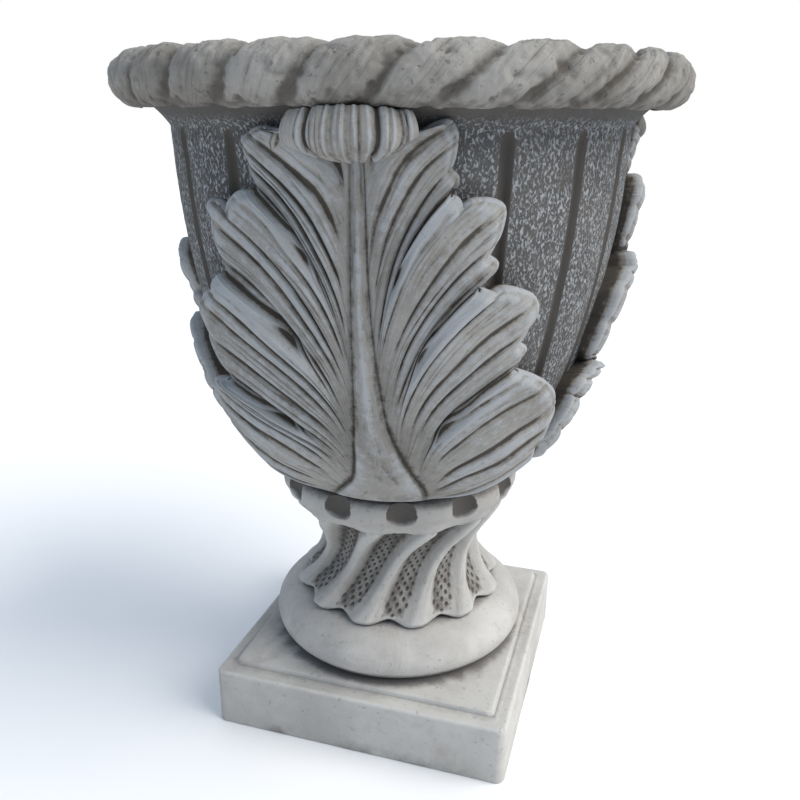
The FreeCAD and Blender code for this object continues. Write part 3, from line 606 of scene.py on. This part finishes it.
# Collar: bars run up from the cords, and upright scoops are cut between them
def collarShell(s):
    azimuth = around(s.columns)
    half = 180 / s.ribCount
    collar = smoothLine([(r, z) for z, r in s.collarLine], s.collarRows)
    footLevel = s.collarLine[0][0]
    share = (collar[:, 1:] - footLevel) / (s.seat - footLevel)
    edgeLobe = np.abs(acrossCord(s, azimuth, s.barFoot)) / half
    lip = mix(s.archFoot, s.archTop, np.sqrt(np.clip((edgeLobe - 0.2) / 0.55, 0, 1)))
    level = mix(lip, s.seat, share)
    lobe = np.abs(acrossCord(s, azimuth, np.maximum(level, s.barFoot))) / half
    reach = readOff(s.collarLine, level)
    bar = softStep(256, 243, level) * softStep(s.barFoot, s.barFoot + 10, level)
    reach = reach + s.barStand * softStep(0.85, 0.1, lobe) * bar
    reach = reach + 0.8 * np.cos(lobe * np.pi) * softStep(245, 262, level)
    gap = (1 - lobe) * half * np.pi / 180 * s.collarRadius
    depth = np.hypot(gap, np.clip(s.fluteLevel - level, 0, None))
    flute = np.sqrt(np.clip(s.fluteRadius**2 - depth**2, 0, None))
    carved = np.minimum(reach, np.where(flute > 0, s.fluteAxis - flute, 999.0))
    deepness = np.clip((reach - carved) / 12, 0, 1)
    carved = reach - (reach - carved) * softStep(0, 0.25, deepness)
    # Painted shade in the scoops, darkest at their tops, and at the collar's top under the bowl;
    # painted highlights across the bars and along the lip
    relief = -1.5 * deepness - 1.2 * softStep(258, 272, level) * (deepness > 0.05)
    relief -= 0.5 * softStep(268, 278, level)
    relief += 0.45 * bell(level - 245, 8.0) * softStep(0.3, 0, deepness)
    relief += 0.35 * bell((level - lip) - 1.5, 1.5)
    lipRadius = carved[:1]
    below = [(lipRadius - 16, lip + 3.0), (lipRadius - 8, lip + 0.6), (lipRadius - 3, lip - 0.4),
             (lipRadius - 0.9, lip - 0.2)]
    inside = s.splitLevel + 0.6
    above = [(110, s.seat), (60, s.seat), (bores.pipe, s.seat), (bores.pipe, inside),
             (60, inside)]
    points, _, relief = stemLoops(azimuth, below, carved, level, above, relief, 2, 6)
    return shell(points, relief)


makePiece("stem_drapery", [drapeShell(stemShape)], stemStone, "pedestal", "stem_stone", "drape_stem")
makePiece("stem_collar", [collarShell(stemShape)], stemStone, "pedestal", "stem_stone", "drape_stem")


# Bowl: its outside bulges from the foot to the shoulder as a share of both radii, its wall
# inside follows in the same way, and narrow grooves part its bands
bowlShape = Settings(
    seat=278.0, shoulder=656.0, cove=22.0, coveHollow=0.05, footRadius=118.0,
    topRadius=222.0, lift=1.9, fullness=1.34, floorLevel=322.0, floorRadius=98.0, wall=20.0,
    socketTop=304.0, grooveCount=18, leafTurn=8.6, grooveWidth=10.5,
    grooveDepth=4.5, grooveLow=292.0, grooveHigh=632.0, bandCrown=1.6,
    grooveEnd=7, columns=720, outerRows=92, coveRows=9, innerRows=56,
    stipple=0.35,
)


def bulge(s, share):
    share = np.clip(share, 0, 1)
    return (1 - (1 - share) ** s.lift) ** (1 / s.fullness)


def bowlRadius(level):
    s = bowlShape
    coveLevel = s.shoulder - s.cove
    share = (level - s.seat) / (coveLevel - s.seat)
    return mix(s.footRadius, s.topRadius, bulge(s, share))


def bowlShell(s):
    azimuth = around(s.columns)
    coveLevel = s.shoulder - s.cove
    outer = s.seat + (coveLevel - s.seat) * np.linspace(0, 1, s.outerRows)[:, None] ** 1.25
    radius = bowlRadius(outer) + 0 * azimuth
    pitch = 360 / s.grooveCount
    side = (azimuth - s.leafTurn) % pitch - pitch / 2
    length = np.radians(side) * radius
    along = (np.clip(outer - (s.grooveHigh - s.grooveEnd), 0, None)
             + np.clip(s.grooveLow + s.grooveEnd - outer, 0, None))
    off = np.hypot(length, along) / (s.grooveWidth / 2)
    groove = np.sqrt(np.clip(1 - np.clip(off, 0, 1)**2, 0, 1)) * softStep(1.12, 0.9, off)
    bandShare = np.clip(1 - np.abs(side) / (pitch / 2), 0, 1)
    crown = s.bandCrown * (1 - (1 - np.cos(bandShare * np.pi / 2) ** 2) * softStep(634, 606, outer))
    band = softStep(0.95, 1.25, off)
    place = placed(radius, azimuth, outer)
    stipple = (lumps(place, 3.1) * 0.6 + lumps(place + 50, 5.3) * 0.4) * s.stipple * band
    radius = radius - s.bandCrown + crown - s.grooveDepth * groove + stipple
    radius += 0.5 * lumps(place, 55.0) * band
    # Painted shade in the grooves and along their edges, and at the top under the rope; darker towards
    # the bottom; the bands mottled at random
    relief = -0.75 * softStep(0.1, 0.8, groove) - 0.7 * bell(off - 1, 0.18)
    relief = relief + 0.35 * band * lumps(place, 26.0) - 0.12 * softStep(618, 634, outer)
    relief = relief - 0.4 * (1 - band) - 0.15 * softStep(520, 400, outer)

    slant = np.linspace(0.1, 1, s.coveRows)[:, None]
    hollow = s.coveHollow * np.sin(np.pi * slant)
    cove = (s.topRadius + s.cove * (slant - hollow), coveLevel + s.cove * (slant + hollow))
    span = s.shoulder - s.floorLevel
    down = np.linspace(1, 0, s.innerRows)[:, None]
    inner = s.floorLevel + span * down ** 1.3
    share = (inner - s.floorLevel) / span
    innerRadius = mix(s.floorRadius, s.topRadius - s.wall, bulge(s, share))
    rows = [(s.footRadius * 0.8, s.seat), (s.footRadius - 2, s.seat)]
    last = [(s.topRadius + step, s.shoulder) for step in (14, 0, -18)]
    floor = [(70, s.floorLevel), (40, s.floorLevel), (bores.drain + 3, s.floorLevel),
             (bores.drain, s.floorLevel - 2.5), (bores.drain, s.socketTop),
             (bores.socket, s.socketTop), (bores.socket, s.seat + 1.5),
             (bores.socket + 1.5, s.seat), (60, s.seat)]
    radii, levels = stacked(azimuth, rows + [(radius, outer), cove] + last
                            + [(innerRadius, inner)] + floor)
    # Painted shade on the plain rows inside, under the rope and underneath, and in the cove, deeper
    # towards the rope
    plain = np.full(radii.shape, -0.55)
    coveStart = len(rows) + s.outerRows
    plain[coveStart:coveStart + s.coveRows] = mix(-0.1, -0.38, softStep(0.0, 0.5, slant))
    plain[len(rows):coveStart] = relief
    loops = placed(radii, azimuth, levels)
    rough = np.zeros(radii.shape)
    inside = slice(coveStart + s.coveRows + len(last), -len(floor) - 1)
    rough[inside] = 0.8 * lumps(loops, 24.0)[inside]
    flow = placed(radii, azimuth, levels * 0.08)
    return shell(placed(radii + rough, azimuth, levels), plain, flow)


makePiece("bowl_shell", [bowlShell(bowlShape)], bowlStone, "bowl_body", "bowl_stone", "bowl")

# Rope rim: a ring whose section swells with the strands, which turn round it as they lie.
# Each lay is a broad lobe between two soft valleys, with finer nicks across its upper half.
ropeShape = Settings(
    ringRadius=249.4, level=673.0, radius=24.3, turns=27, strands=2,
    grooveAzimuth=-25.35, slantChange=2.1, slantTurn=26.0, slantPeak=35.0,
    valleyDepth=4.4, steepWidth=0.22, flatWidth=0.36, rows=1150, columns=80,
    bedLevel=658.0, seatRadius=246.0, mostRadius=24.45, slantRest=20, grainSize=9.2,
    # place across the lay, depth and width of the nicks
    nicks=[(0.24, 1.5, 0.020), (0.36, 1.0, 0.016), (0.50, 1.9, 0.024), (0.63, 1.1, 0.018),
           (0.76, 1.3, 0.022)],
)


def ropeShell(s):
    azimuth = around(s.rows).T
    about = around(s.columns)
    turn = np.radians(about)
    place = placed(s.ringRadius + s.radius * np.cos(turn), azimuth,
                   s.level + s.radius * np.sin(turn))
    peak = math.radians(s.slantPeak)
    slant = s.slantChange * np.sin(np.radians(azimuth - s.slantTurn))
    slant = slant * (np.sin(turn - peak) - math.sin(math.radians(s.slantRest) - peak))
    phase = ((azimuth - s.grooveAzimuth) * s.turns - about * s.strands
             - np.degrees(slant)) / 360 + 0.05 * lumps(place, 26.0)
    number = np.floor(phase)
    share = phase - number
    random = np.sin(number * 12.9898) * 43758.5453
    random = random - np.floor(random)
    valley = np.maximum(softStep(1, 0, share / s.steepWidth) ** 1.2,
                        softStep(1, 0, (1 - share) / s.flatWidth) ** 1.2)
    valley = valley * softStep(-1.0, -0.5, np.sin(turn))
    height = -s.valleyDepth * (0.85 + 0.3 * random) * valley - 1.6 * np.abs(2 * share - 1) ** 2
    upper = softStep(-0.35, 0.35, np.sin(turn))
    for middle, depth, width in s.nicks:
        shift = middle + 0.09 * (random - 0.5) + 0.03 * lumps(place + 70 * middle, 15.0)
        present = softStep(-0.25, 0.25, lumps(place + 90 * middle, 14.0)) * upper
        height -= depth * present * bell(share - shift, width)
    chips = np.clip(lumps(place, 8.5) - 0.35, 0, 1) * 4 + np.clip(lumps(place, 15.0) - 0.4, 0, 1) * 4
    rough = 0.9 * (lumps(place, 11.0) - 0.6) + 0.7 * (lumps(place, 4.4) - 0.4)
    height = height - chips + rough
    radius = np.minimum(s.radius + height, s.mostRadius)
    reach = s.ringRadius + radius * np.cos(turn)
    level = s.level + radius * np.sin(turn)
    seated = (reach < s.seatRadius) & (level < s.bedLevel)
    level = np.where(seated, s.bedLevel, level)
    # Painted light: lighter on the upper half, with painted shade in the valleys and underneath
    relief = reliefOf(height, 9, 3, 3.4, wrapRows=True) + 0.2 * softStep(0, 1, np.sin(turn))
    relief = relief - 0.15 * valley - 0.6 * softStep(-0.25, -0.9, np.sin(turn)) - 0.05
    grain = 2 * np.pi * phase
    flow = np.stack([s.grainSize * np.cos(grain), s.grainSize * np.sin(grain),
                     2.5 * np.sin(turn) + 25 * np.cos(np.radians(azimuth))], -1)
    return shell(placed(reach, azimuth, level), relief, flow)


makePiece("rope_ring", [ropeShell(ropeShape)], ropeStone, "bowl_body", "rope_stone", "rope_rim")

# Acanthus leaf. Its rows are veins: each leaves the side of the midrib and bends outwards to
# the leaf's edge, as a quadratic curve between the two. Each side has four leaflets.
leafShape = Settings(
    # turn of the front leaf, and length of a degree on the leaf's mean radius
    turn=8.6, degreeSize=3.5,
    # steps over the leaf's edge: outward offset, share of height, drop
    roll=[(1.6, 1.0, -1.6), (2.5, 1.0, -5.0), (2.1, 0.62, -2.0), (0.5, 0.3, 0.0), (-2.5, 0.0, -1.5)],
    # level on the midrib where each leaflet's first vein leaves it, and the last one's end
    joins=[284.0, 318.0, 362.0, 435.0, 634.0],
    # sides of the midrib: angle from the leaf's middle, and level
    leftRib=[(-22.6, 284), (-14, 303), (-8.6, 318), (-6.5, 335), (-5.2, 365), (-3.6, 420),
             (-2.4, 499), (-1.5, 592), (-1.2, 634)],
    rightRib=[(21, 284), (18.6, 301), (14.2, 320), (10.8, 338), (6.4, 371), (3.8, 420),
              (2.3, 480), (1.6, 592), (1.3, 634)],
    # edges of the leaflets from the foot up: angle from the leaf's middle, and level
    leftEdge=[
        [(-55, 333), (-57, 352), (-56, 376), (-53, 396), (-48, 406), (-44, 409.5), (-40.5, 411)],
        [(-41, 413), (-45.5, 428), (-46, 444), (-45, 459), (-44.6, 472), (-43.6, 484), (-40.4, 492),
         (-37.2, 499), (-34.4, 503), (-33.6, 511), (-32.3, 517)],
        [(-32.4, 519), (-33.6, 531), (-34.6, 545), (-34.1, 559), (-34.0, 571), (-33, 577),
         (-30.5, 577.5), (-28.4, 573), (-27.5, 571), (-26, 579), (-23.8, 586), (-22, 588)],
        [(-22.2, 589.5), (-22.8, 600), (-23.3, 614), (-23.5, 626), (-22.2, 629.5), (-20.2, 633),
         (-18.2, 635), (-15.4, 633)]],
    rightEdge=[
        [(55, 333), (53.6, 346), (50.6, 352.5), (52.6, 360), (53, 378), (51.6, 397), (48.6, 411),
         (45.4, 420.5), (41, 430), (37.2, 437), (34.4, 440)],
        [(34.8, 442), (37, 450), (37.4, 458), (35.2, 465), (36.2, 472), (37.2, 482), (37.8, 493),
         (36.8, 503), (33, 511.5), (28.8, 515), (26.4, 511.5), (24.6, 514.5), (23, 515)],
        [(24.9, 519), (27, 525), (28.2, 534), (25.9, 541), (27, 550), (28, 567), (27.8, 579),
         (25, 584), (21.5, 583.5), (19.4, 578.5), (18.6, 585), (17, 588)],
        [(18.2, 590), (19.3, 600), (17.9, 606.5), (18.3, 616), (18.3, 634), (17.2, 640.5),
         (14.6, 638), (12.2, 632)]],
    # heights beside the midrib and of the midrib's own crown, by level
    rootHeights=[(284, 3.5), (300, 5), (330, 8), (430, 9.5), (560, 9), (634, 8.5)],
    ribCrowns=[(284, 2.5), (300, 5.5), (340, 6.5), (430, 5.5), (540, 4.0), (585, 1.8), (634, 1.2)],
    leafletRows=[156, 146, 146, 152], acrossColumns=54, ribColumns=15,
    leftHeights=[27.0, 27.0, 23.0, 17.0],
    rightHeights=[31.0, 30.0, 24.0, 17.0], capStep=12, shingle=13.0, fold=5.0,
    # share across of the eye above each leaflet, and the strength of the ribbing
    leftEyes=[0.62, 0.60, 0.60], rightEyes=[0.44, 0.53, 0.50], eyeDepth=14.0,
    leftRibbing=1.0, rightRibbing=0.75, leftSeed=3, rightSeed=8, creases=[5, 4, 4, 5], striations=11,
)


# Side of the midrib at a level, in degrees
def ribSide(points, level):
    return readOff([(z, angle) for angle, z in points], level)


# One side of the leaf: angle, level and height at each vein's row and each step across it. A few
# deep creases part each leaflet into convex ribs, and fine striations run along these.
def leafSide(s, side):
    ribPoints, edgePoints, edgeHeights, eyes, ribbing, seed = (
        s[side + part] for part in ("Rib", "Edge", "Heights", "Eyes", "Ribbing", "Seed"))
    random = np.random.default_rng(seed)
    steps = 1 - (1 - np.linspace(0, 1, s.acrossColumns)) ** 1.15
    t = steps[None, :]
    angles, levels, heights = [], [], []
    for which, edge in enumerate(edgePoints):
        rows = s.leafletRows[which]
        v = np.linspace(0, 1, rows)[:, None]
        rim = smoothLine([(angle * s.degreeSize, level) for angle, level in edge], rows)
        endAngle, endLevel = rim[:, :1] / s.degreeSize, rim[:, 1:]
        top = which == len(edgePoints) - 1
        rootLevel = mix(s.joins[which], s.joins[which + 1], v ** (2.1 if top else 1.0))
        rootAngle = ribSide(ribPoints, rootLevel)
        outShare = mix(0.6, 0.16, softStep(0, 0.7, v)) if which == 0 else 0.16 + 0 * v
        upShare = mix(0.12, 0.7, softStep(0, 0.8, v)) if which == 0 else 0.7 + 0 * v
        bendAngle = mix(rootAngle, endAngle, outShare)
        bendLevel = mix(rootLevel, endLevel, upShare)
        angle, level = (root * (1 - t)**2 + 2 * bend * t * (1 - t) + end * t**2 for root, bend, end
                        in ((rootAngle, bendAngle, endAngle), (rootLevel, bendLevel, endLevel)))

        groove = np.interp(rootLevel, *np.array(s.rootHeights).T)
        body = groove + (edgeHeights[which] - groove) * (0.78 * softStep(0, 0.7, t) + 0.22 * t)
        if which == 0:
            body -= 5 * softStep(0.3, 0, v) * softStep(0.2, 0.8, t)
        eye = eyes[min(which, 2)]
        lowEye = eyes[max(which - 1, 0)]
        free = softStep(eye - 0.38, eye + 0.12, t)
        lowFree = softStep(lowEye - 0.38, lowEye + 0.12, t)
        rise = s.shingle * (v**1.3 - 0.5)
        body += np.where(v > 0.5, rise * free, rise * lowFree * (which > 0))
        if not top:
            body -= s.fold * softStep(0.9, 1.0, v) * free
            body -= s.eyeDepth * bell(t - eye, 0.10) * softStep(0.94, 0.99, v)
        if which > 0:
            body -= s.eyeDepth * bell(t - lowEye, 0.11) * softStep(0.15, 0.02, v)

        # Creases, the ribs between them, and striations
        wave = 0.020 * np.sin(t * 5 + seed + 2 * which) + 0.008 * np.sin(t * 13 + 2 * seed + v * 7)
        count = s.creases[which]
        places = (np.arange(count) + 0.5 + random.uniform(-0.24, 0.24, count)) / count
        bounds = np.concatenate([[-0.03], places, [1.03]])
        cell = np.clip(np.searchsorted(places, v + wave), 0, count)
        within = (v + wave - bounds[cell]) / (bounds[cell + 1] - bounds[cell])
        swell = softStep(0.05, 0.4, t) * (1 - 0.5 * softStep(0.75, 1.0, t))
        body += ribbing * 2.3 * (4 * within * (1 - within) - 0.5) * swell
        for place in places:
            begin = random.uniform(0.02, 0.25)
            depth = random.uniform(1.9, 3.2) * softStep(begin, begin + 0.2, t)
            depth = depth * (1 - 0.6 * softStep(0.8, 1.0, t)) * ribbing
            body -= depth * bell(v + wave - place, random.uniform(0.022, 0.036))
        for k in range(s.striations):
            place, begin = (k + random.uniform(0.1, 0.9)) / s.striations, random.uniform(0.02, 0.5)
            finish = random.uniform(0.7, 1.1)
            depth = random.uniform(0.5, 1.4) * softStep(begin, begin + 0.12, t) * ribbing
            depth *= softStep(finish, finish - 0.15, t)
            drift = 0.02 * np.sin(t * random.uniform(3, 7) + k)
            body -= depth * bell(v + wave + drift - place, random.uniform(0.009, 0.016))
        body = body + 0.8 * softStep(0.7, 0.9, t) - 4.5 * softStep(0.93, 1.0, t) ** 1.5
        body -= 2.2 * bell(t, 0.05) * softStep(330, 400, rootLevel)
        angles.append(angle)
        levels.append(level)
        heights.append(np.maximum(body, 1.4))
    return np.vstack(angles), np.vstack(levels), np.vstack(heights)


def leafShell(s, azimuth):
    left, right = leafSide(s, "left"), leafSide(s, "right")
    leafletPlace = np.concatenate([which + np.linspace(0, 1, count)
                                   for which, count in enumerate(s.leafletRows)])[:, None]

    # Midrib: narrow and crowned above, widening below to the flat foot
    w = np.linspace(-1, 1, s.ribColumns + 2)[None, 1:-1]
    ribAngle = mix(left[0][:, :1], right[0][:, :1], (w + 1) / 2)
    ribLevel = left[1][:, :1] + 0 * w
    floor = mix(left[2][:, :1], right[2][:, :1], (w + 1) / 2)
    crown = np.interp(ribLevel, *np.array(s.ribCrowns).T)
    wide = softStep(400, 330, ribLevel)
    ribHeight = floor + (crown + 2.2 * (1 - wide)) * mix(np.cos(w * np.pi / 2) ** 2.2,
                                                         1 - np.abs(w) ** 6, wide)

    angle = np.hstack([left[0][:, ::-1], ribAngle, right[0]])
    level = np.hstack([left[1][:, ::-1], ribLevel, right[1]])
    height = np.hstack([left[2][:, ::-1], ribHeight, right[2]])

    # Edges roll over and run back to the bowl
    offset, share, drop = np.array(s.roll).T
    size = s.degreeSize

    def wall(column, sign):
        lineAngle, lineLevel, lineHeight = (grid[:, [column]] for grid in (angle, level, height))
        run = np.gradient(blurred(lineAngle * size, 2, 0, False), axis=0)
        rise = np.gradient(blurred(lineLevel, 2, 0, False), axis=0)
        length = sign * (np.hypot(run, rise) + 1e-6)
        return (lineAngle + rise / length * offset / size, lineLevel - run / length * offset,
                lineHeight * share + drop)

    def end(row, sign):
        return (angle[row] + 0 * offset[:, None], level[row] + sign * offset[:, None],
                np.maximum(height[row] * share[:, None] + drop[:, None], -1.5))

    angle, level, height = (np.hstack([first[:, ::-1], middle, last]) for first, middle, last
                            in zip(wall(0, -1), (angle, level, height), wall(-1, 1)))
    angle, level, height = (np.vstack([first[::-1], middle, last]) for first, middle, last
                            in zip(end(0, -1), (angle, level, height), end(-1, 1)))
    ground = bowlRadius(level) - bowlShape.bandCrown
    local = placed(ground, angle, level)
    height += (0.55 * lumps(local, 21.0) + 0.3 * lumps(local, 7.5)) * (height > 1)
    place = placed(ground + height, azimuth + angle, level)

    relief = reliefOf(height, 5, 1, 1.6, wrapColumns=False)
    relief = 0.8 * relief + 0.5 * reliefOf(height, 14, 4, 5.0, wrapColumns=False)
    columns = height.shape[1]
    # Painted shade under the leaf's rolled edges and at its ends
    walls = np.zeros(columns)
    walls[:3] = walls[-3:] = 1
    relief -= 0.8 * walls[None, :]
    relief[:3] -= 0.6
    relief[-4:] -= 0.8

    # Flow: across the veins in millimetres, and a twelfth of the way along them
    side = np.ones(s.acrossColumns)[None, :]
    steps = 9 * np.linspace(0, 1, s.acrossColumns)[None, :] + 0 * leafletPlace
    acrossFlow = np.hstack([75 * leafletPlace * side, 400 + 9 * w + 0 * leafletPlace,
                            500 + 75 * leafletPlace * side])
    alongFlow = np.hstack([steps[:, ::-1], ribLevel * 0.07, steps])
    flow = np.stack([np.pad(part, len(offset), mode="edge") for part in (acrossFlow, alongFlow)], -1)
    flow = np.concatenate([flow, np.zeros(flow.shape[:2] + (1,))], -1)

    # Back: the same rows on the bowl's wall, with fewer columns
    keep = np.arange(0, columns, s.capStep)
    back = placed(ground[:, keep] - 2.0, azimuth + angle[:, keep], level[:, keep])
    loop = np.concatenate([place, back[:, ::-1]], axis=1)
    # The back, against the bowl, takes painted shade
    relief = np.hstack([relief, np.full((len(loop), len(keep)), -0.5)])
    flow = np.hstack([flow, np.zeros((len(loop), len(keep), 3))])
    return shell(loop, relief, flow, closedRows=False, capStep=s.capStep)


# Curled tip: a scallop that rolls from the back over its top and down to its lip. Meridians run
# along the roll; their reach, height and spread change with the angle from the top.
curlShape = Settings(
    axisRadius=240.0, level=631.0, deep=31.5, tall=31.0, below=22.0, wide=47.0,
    # thickness of the lip, and what nearly closes the left end
    thickness=6.5, leftFill=19,
    start=-25.0, rows=170, arcColumns=72, clearOfRope=25.0,
    # size, rate and start of the waves that make its ridges
    ridges=[(0.55, 19.0, 1.0), (0.5, 31.0, 2.1), (0.4, 47.0, 0.3), (0.3, 74.0, 1.7)],
    # angle from the top in degrees, share of the full spread
    spread=[(-25, 0.60), (0, 0.72), (30, 0.86), (60, 0.96), (90, 1.0), (120, 0.93), (150, 0.72),
            (170, 0.56)],
    # place across from -1 to 1, angle of the lip from the top
    lips=[(-1, 128), (-0.84, 142), (-0.66, 149), (-0.6, 148), (-0.5, 162), (-0.2, 166),
          (0.1, 167), (0.34, 162), (0.43, 148), (0.52, 156), (0.62, 157), (0.72, 142), (0.8, 112),
          (0.9, 98), (1, 90)],
    creases=[(-0.6, 3.4, 0.05), (0.43, 5.0, 0.055), (0.78, 3.6, 0.06)],
    bud=(-14.5, 626.0, 8.0, 6.0),
)


def curlShell(s, azimuth):
    u = np.linspace(-1, 1, s.rows)[:, None]
    lip = readOff(s.lips, u)
    share = np.linspace(0, 1, s.arcColumns)[None, :]
    turn = mix(s.start, lip, share)
    spread = readOff(s.spread, turn, 200)
    drift = u + 0.02 * np.sin(share * 4 + u * 5)
    ribs = sum(size * np.cos(drift * rate + start) for size, rate, start in s.ridges) - 0.5
    ribs = ribs * softStep(0.05, 0.25, share) * softStep(1.02, 0.93, np.abs(u))
    crease = sum(depth * bell(u - place, width) for place, depth, width in s.creases)
    finger = 2.0 * bell(u - 0.6, 0.13) + 1.2 * bell(u + 0.82, 0.14)

    def surface(inset):
        swell = ribs * (inset == 0) + finger * softStep(0.3, 0.7, share) - inset
        swell -= crease * softStep(0.15, 0.5, share)
        angle = np.radians(turn)
        curlIn = 1 - 0.10 * softStep(0.8, 1.0, share)
        deep = (s.deep + swell) * (1 - 0.35 * u**2) * curlIn
        height = mix(s.below, s.tall, softStep(-0.25, 0.25, np.cos(angle)))
        tall = (height + swell) * (1 - 0.25 * u**2) * curlIn
        across = s.wide * u * spread
        return across, s.axisRadius + deep * np.sin(angle), s.level + tall * np.cos(angle)

    inset = s.thickness * mix(1.0, 0.55, softStep(0.55, 1.0, share))
    inset = inset + s.leftFill * softStep(-0.8, -0.97, u)
    outer = surface(0 * inset)
    inner = surface(inset)
    edge = [(a[:, -1:] + b[:, -1:]) / 2 for a, b in zip(outer, inner)]
    edge[2] = edge[2] - 0.9
    across, reach, level = (np.hstack([a, e, b[:, ::-1]]) for a, e, b in zip(outer, edge, inner))

    # Keep clear of the rope's underside and of the bowl's cove
    ropeR, ropeZ = ropeShape.ringRadius, ropeShape.level
    away = np.hypot(reach - ropeR, level - ropeZ)
    push = np.maximum(1, s.clearOfRope / np.maximum(away, 1e-3))
    reach, level = ropeR + (reach - ropeR) * push, ropeZ + (level - ropeZ) * push
    reach = np.maximum(reach, bowlShape.topRadius + 1.5)
    coveLevel = bowlShape.shoulder - bowlShape.cove
    level = np.minimum(level, coveLevel + (reach - bowlShape.topRadius) - 1.0)
    angle = azimuth + np.degrees(across / s.axisRadius)
    height = np.hstack([ribs - crease, (ribs - crease)[:, -1:], 0 * ribs])
    relief = reliefOf(height, 3, 1, 1.5, wrapColumns=False)
    # Painted shade inside the scallop under its lip, and towards the back of the roll
    dark = np.concatenate([np.zeros(s.arcColumns), [0.1], np.full(s.arcColumns, 1.2)])
    alongRoll = np.hstack([share, [[1.0]], share[:, ::-1]])
    relief = relief - dark[None, :] - 0.25 * softStep(0.45, 0.15, alongRoll)
    flow = np.stack([across * 1.1 + 700, 2.5 * np.cos(np.radians(turn[:, [0]])) + 0 * across,
                     0 * across], -1)
    return shell(placed(reach, angle, level), relief, flow, closedRows=False)


# Bud beside the curl: a small ribbed egg
def budShell(s, azimuth):
    angle, level, tall, wide = s.bud
    rise = np.linspace(-0.985, 1, 24)[:, None]
    turn = np.radians(np.arange(36) * 10)[None, :]
    ring = np.sqrt(np.clip(1 - rise**2, 0.001, 1)) * (1 + 0.03 * np.cos(turn * 5))
    reach = bowlRadius(level) + 15 + wide * 1.2 * ring * np.cos(turn) + 2 * rise
    across = np.degrees(wide * ring * np.sin(turn) / 236)
    points = placed(reach, azimuth + angle + across + 0.8 * rise, level + tall * rise)
    # Painted shade over the bud, striped six times round
    return shell(points, -0.3 + 0.3 * np.cos(turn * 6) * ring, closedRows=False)


for sideName, sideTurn in (("front", 0), ("right", 120), ("left", 240)):
    azimuthHere = leafShape.turn + sideTurn
    makePiece("acanthus_" + sideName, [leafShell(leafShape, azimuthHere)], leafStone, "bowl_body",
              "leaf_stone", "leaf_" + sideName)
    makePiece("curl_" + sideName, [curlShell(curlShape, azimuthHere), budShell(curlShape, azimuthHere)],
              leafStone, "bowl_body", "leaf_stone", "leaf_tip_" + sideName)

# Studio: a pale floor, an even pale world and wide soft suns
studio = Settings(
    floorHalf=6.0, floorColour=(0.9, 0.9, 0.9), floorRoughness=0.9,
    sky=(0.62, 0.80, 1.06), skyStrength=0.44,
    # name, azimuth, elevation, angular size, strength and colour
    suns=[("keySun", 90, 44, 50, 3.3, (1.0, 0.965, 0.91)),
          ("fillSun", -25, 35, 70, 0.35, (0.9, 0.95, 1.0)),
          ("backSun", 190, 50, 70, 0.7, (1.0, 1.0, 1.0))],
)


def plainStudio(s):
    half = s.floorHalf
    mesh = bpy.data.meshes.new("floor")
    mesh.from_pydata([(-half, -half, 0), (half, -half, 0), (half, half, 0), (-half, half, 0)], [],
                     [(0, 1, 2, 3)])
    floorFinish = bpy.data.materials.new("floorFinish")
    floorFinish.use_nodes = True
    surface = floorFinish.node_tree.nodes["Principled BSDF"]
    surface.inputs["Base Color"].default_value = (*s.floorColour, 1)
    surface.inputs["Roughness"].default_value = s.floorRoughness
    mesh.materials.append(floorFinish)
    floor = addObject("floor", mesh)

    world = bpy.data.worlds.new("studioSky")
    world.use_nodes = True
    bpy.context.scene.world = world
    tree = world.node_tree
    light = tree.nodes["Background"]
    light.inputs["Color"].default_value = (*s.sky, 1)
    light.inputs["Strength"].default_value = s.skyStrength
    seen = tree.nodes.new("ShaderNodeBackground")
    seen.inputs["Color"].default_value = (1, 1, 1, 1)
    rays = tree.nodes.new("ShaderNodeLightPath")
    pick = tree.nodes.new("ShaderNodeMixShader")
    tree.links.new(rays.outputs["Is Camera Ray"], pick.inputs[0])
    tree.links.new(light.outputs[0], pick.inputs[1])
    tree.links.new(seen.outputs[0], pick.inputs[2])
    tree.links.new(pick.outputs[0], tree.nodes["World Output"].inputs["Surface"])

    for name, azimuth, elevation, size, strength, colour in s.suns:
        sun = bpy.data.lights.new(name, "SUN")
        sun.color = colour
        sun.angle = math.radians(size)
        sun.energy = strength
        holder = addObject(name, sun)
        holder.matrix_world = (Matrix.Rotation(math.radians(azimuth), 4, "Z")
                               @ Matrix.Rotation(math.radians(90 - elevation), 4, "X"))


plainStudio(studio)
bpy.context.scene.view_settings.view_transform = "Standard"
print("studio made")
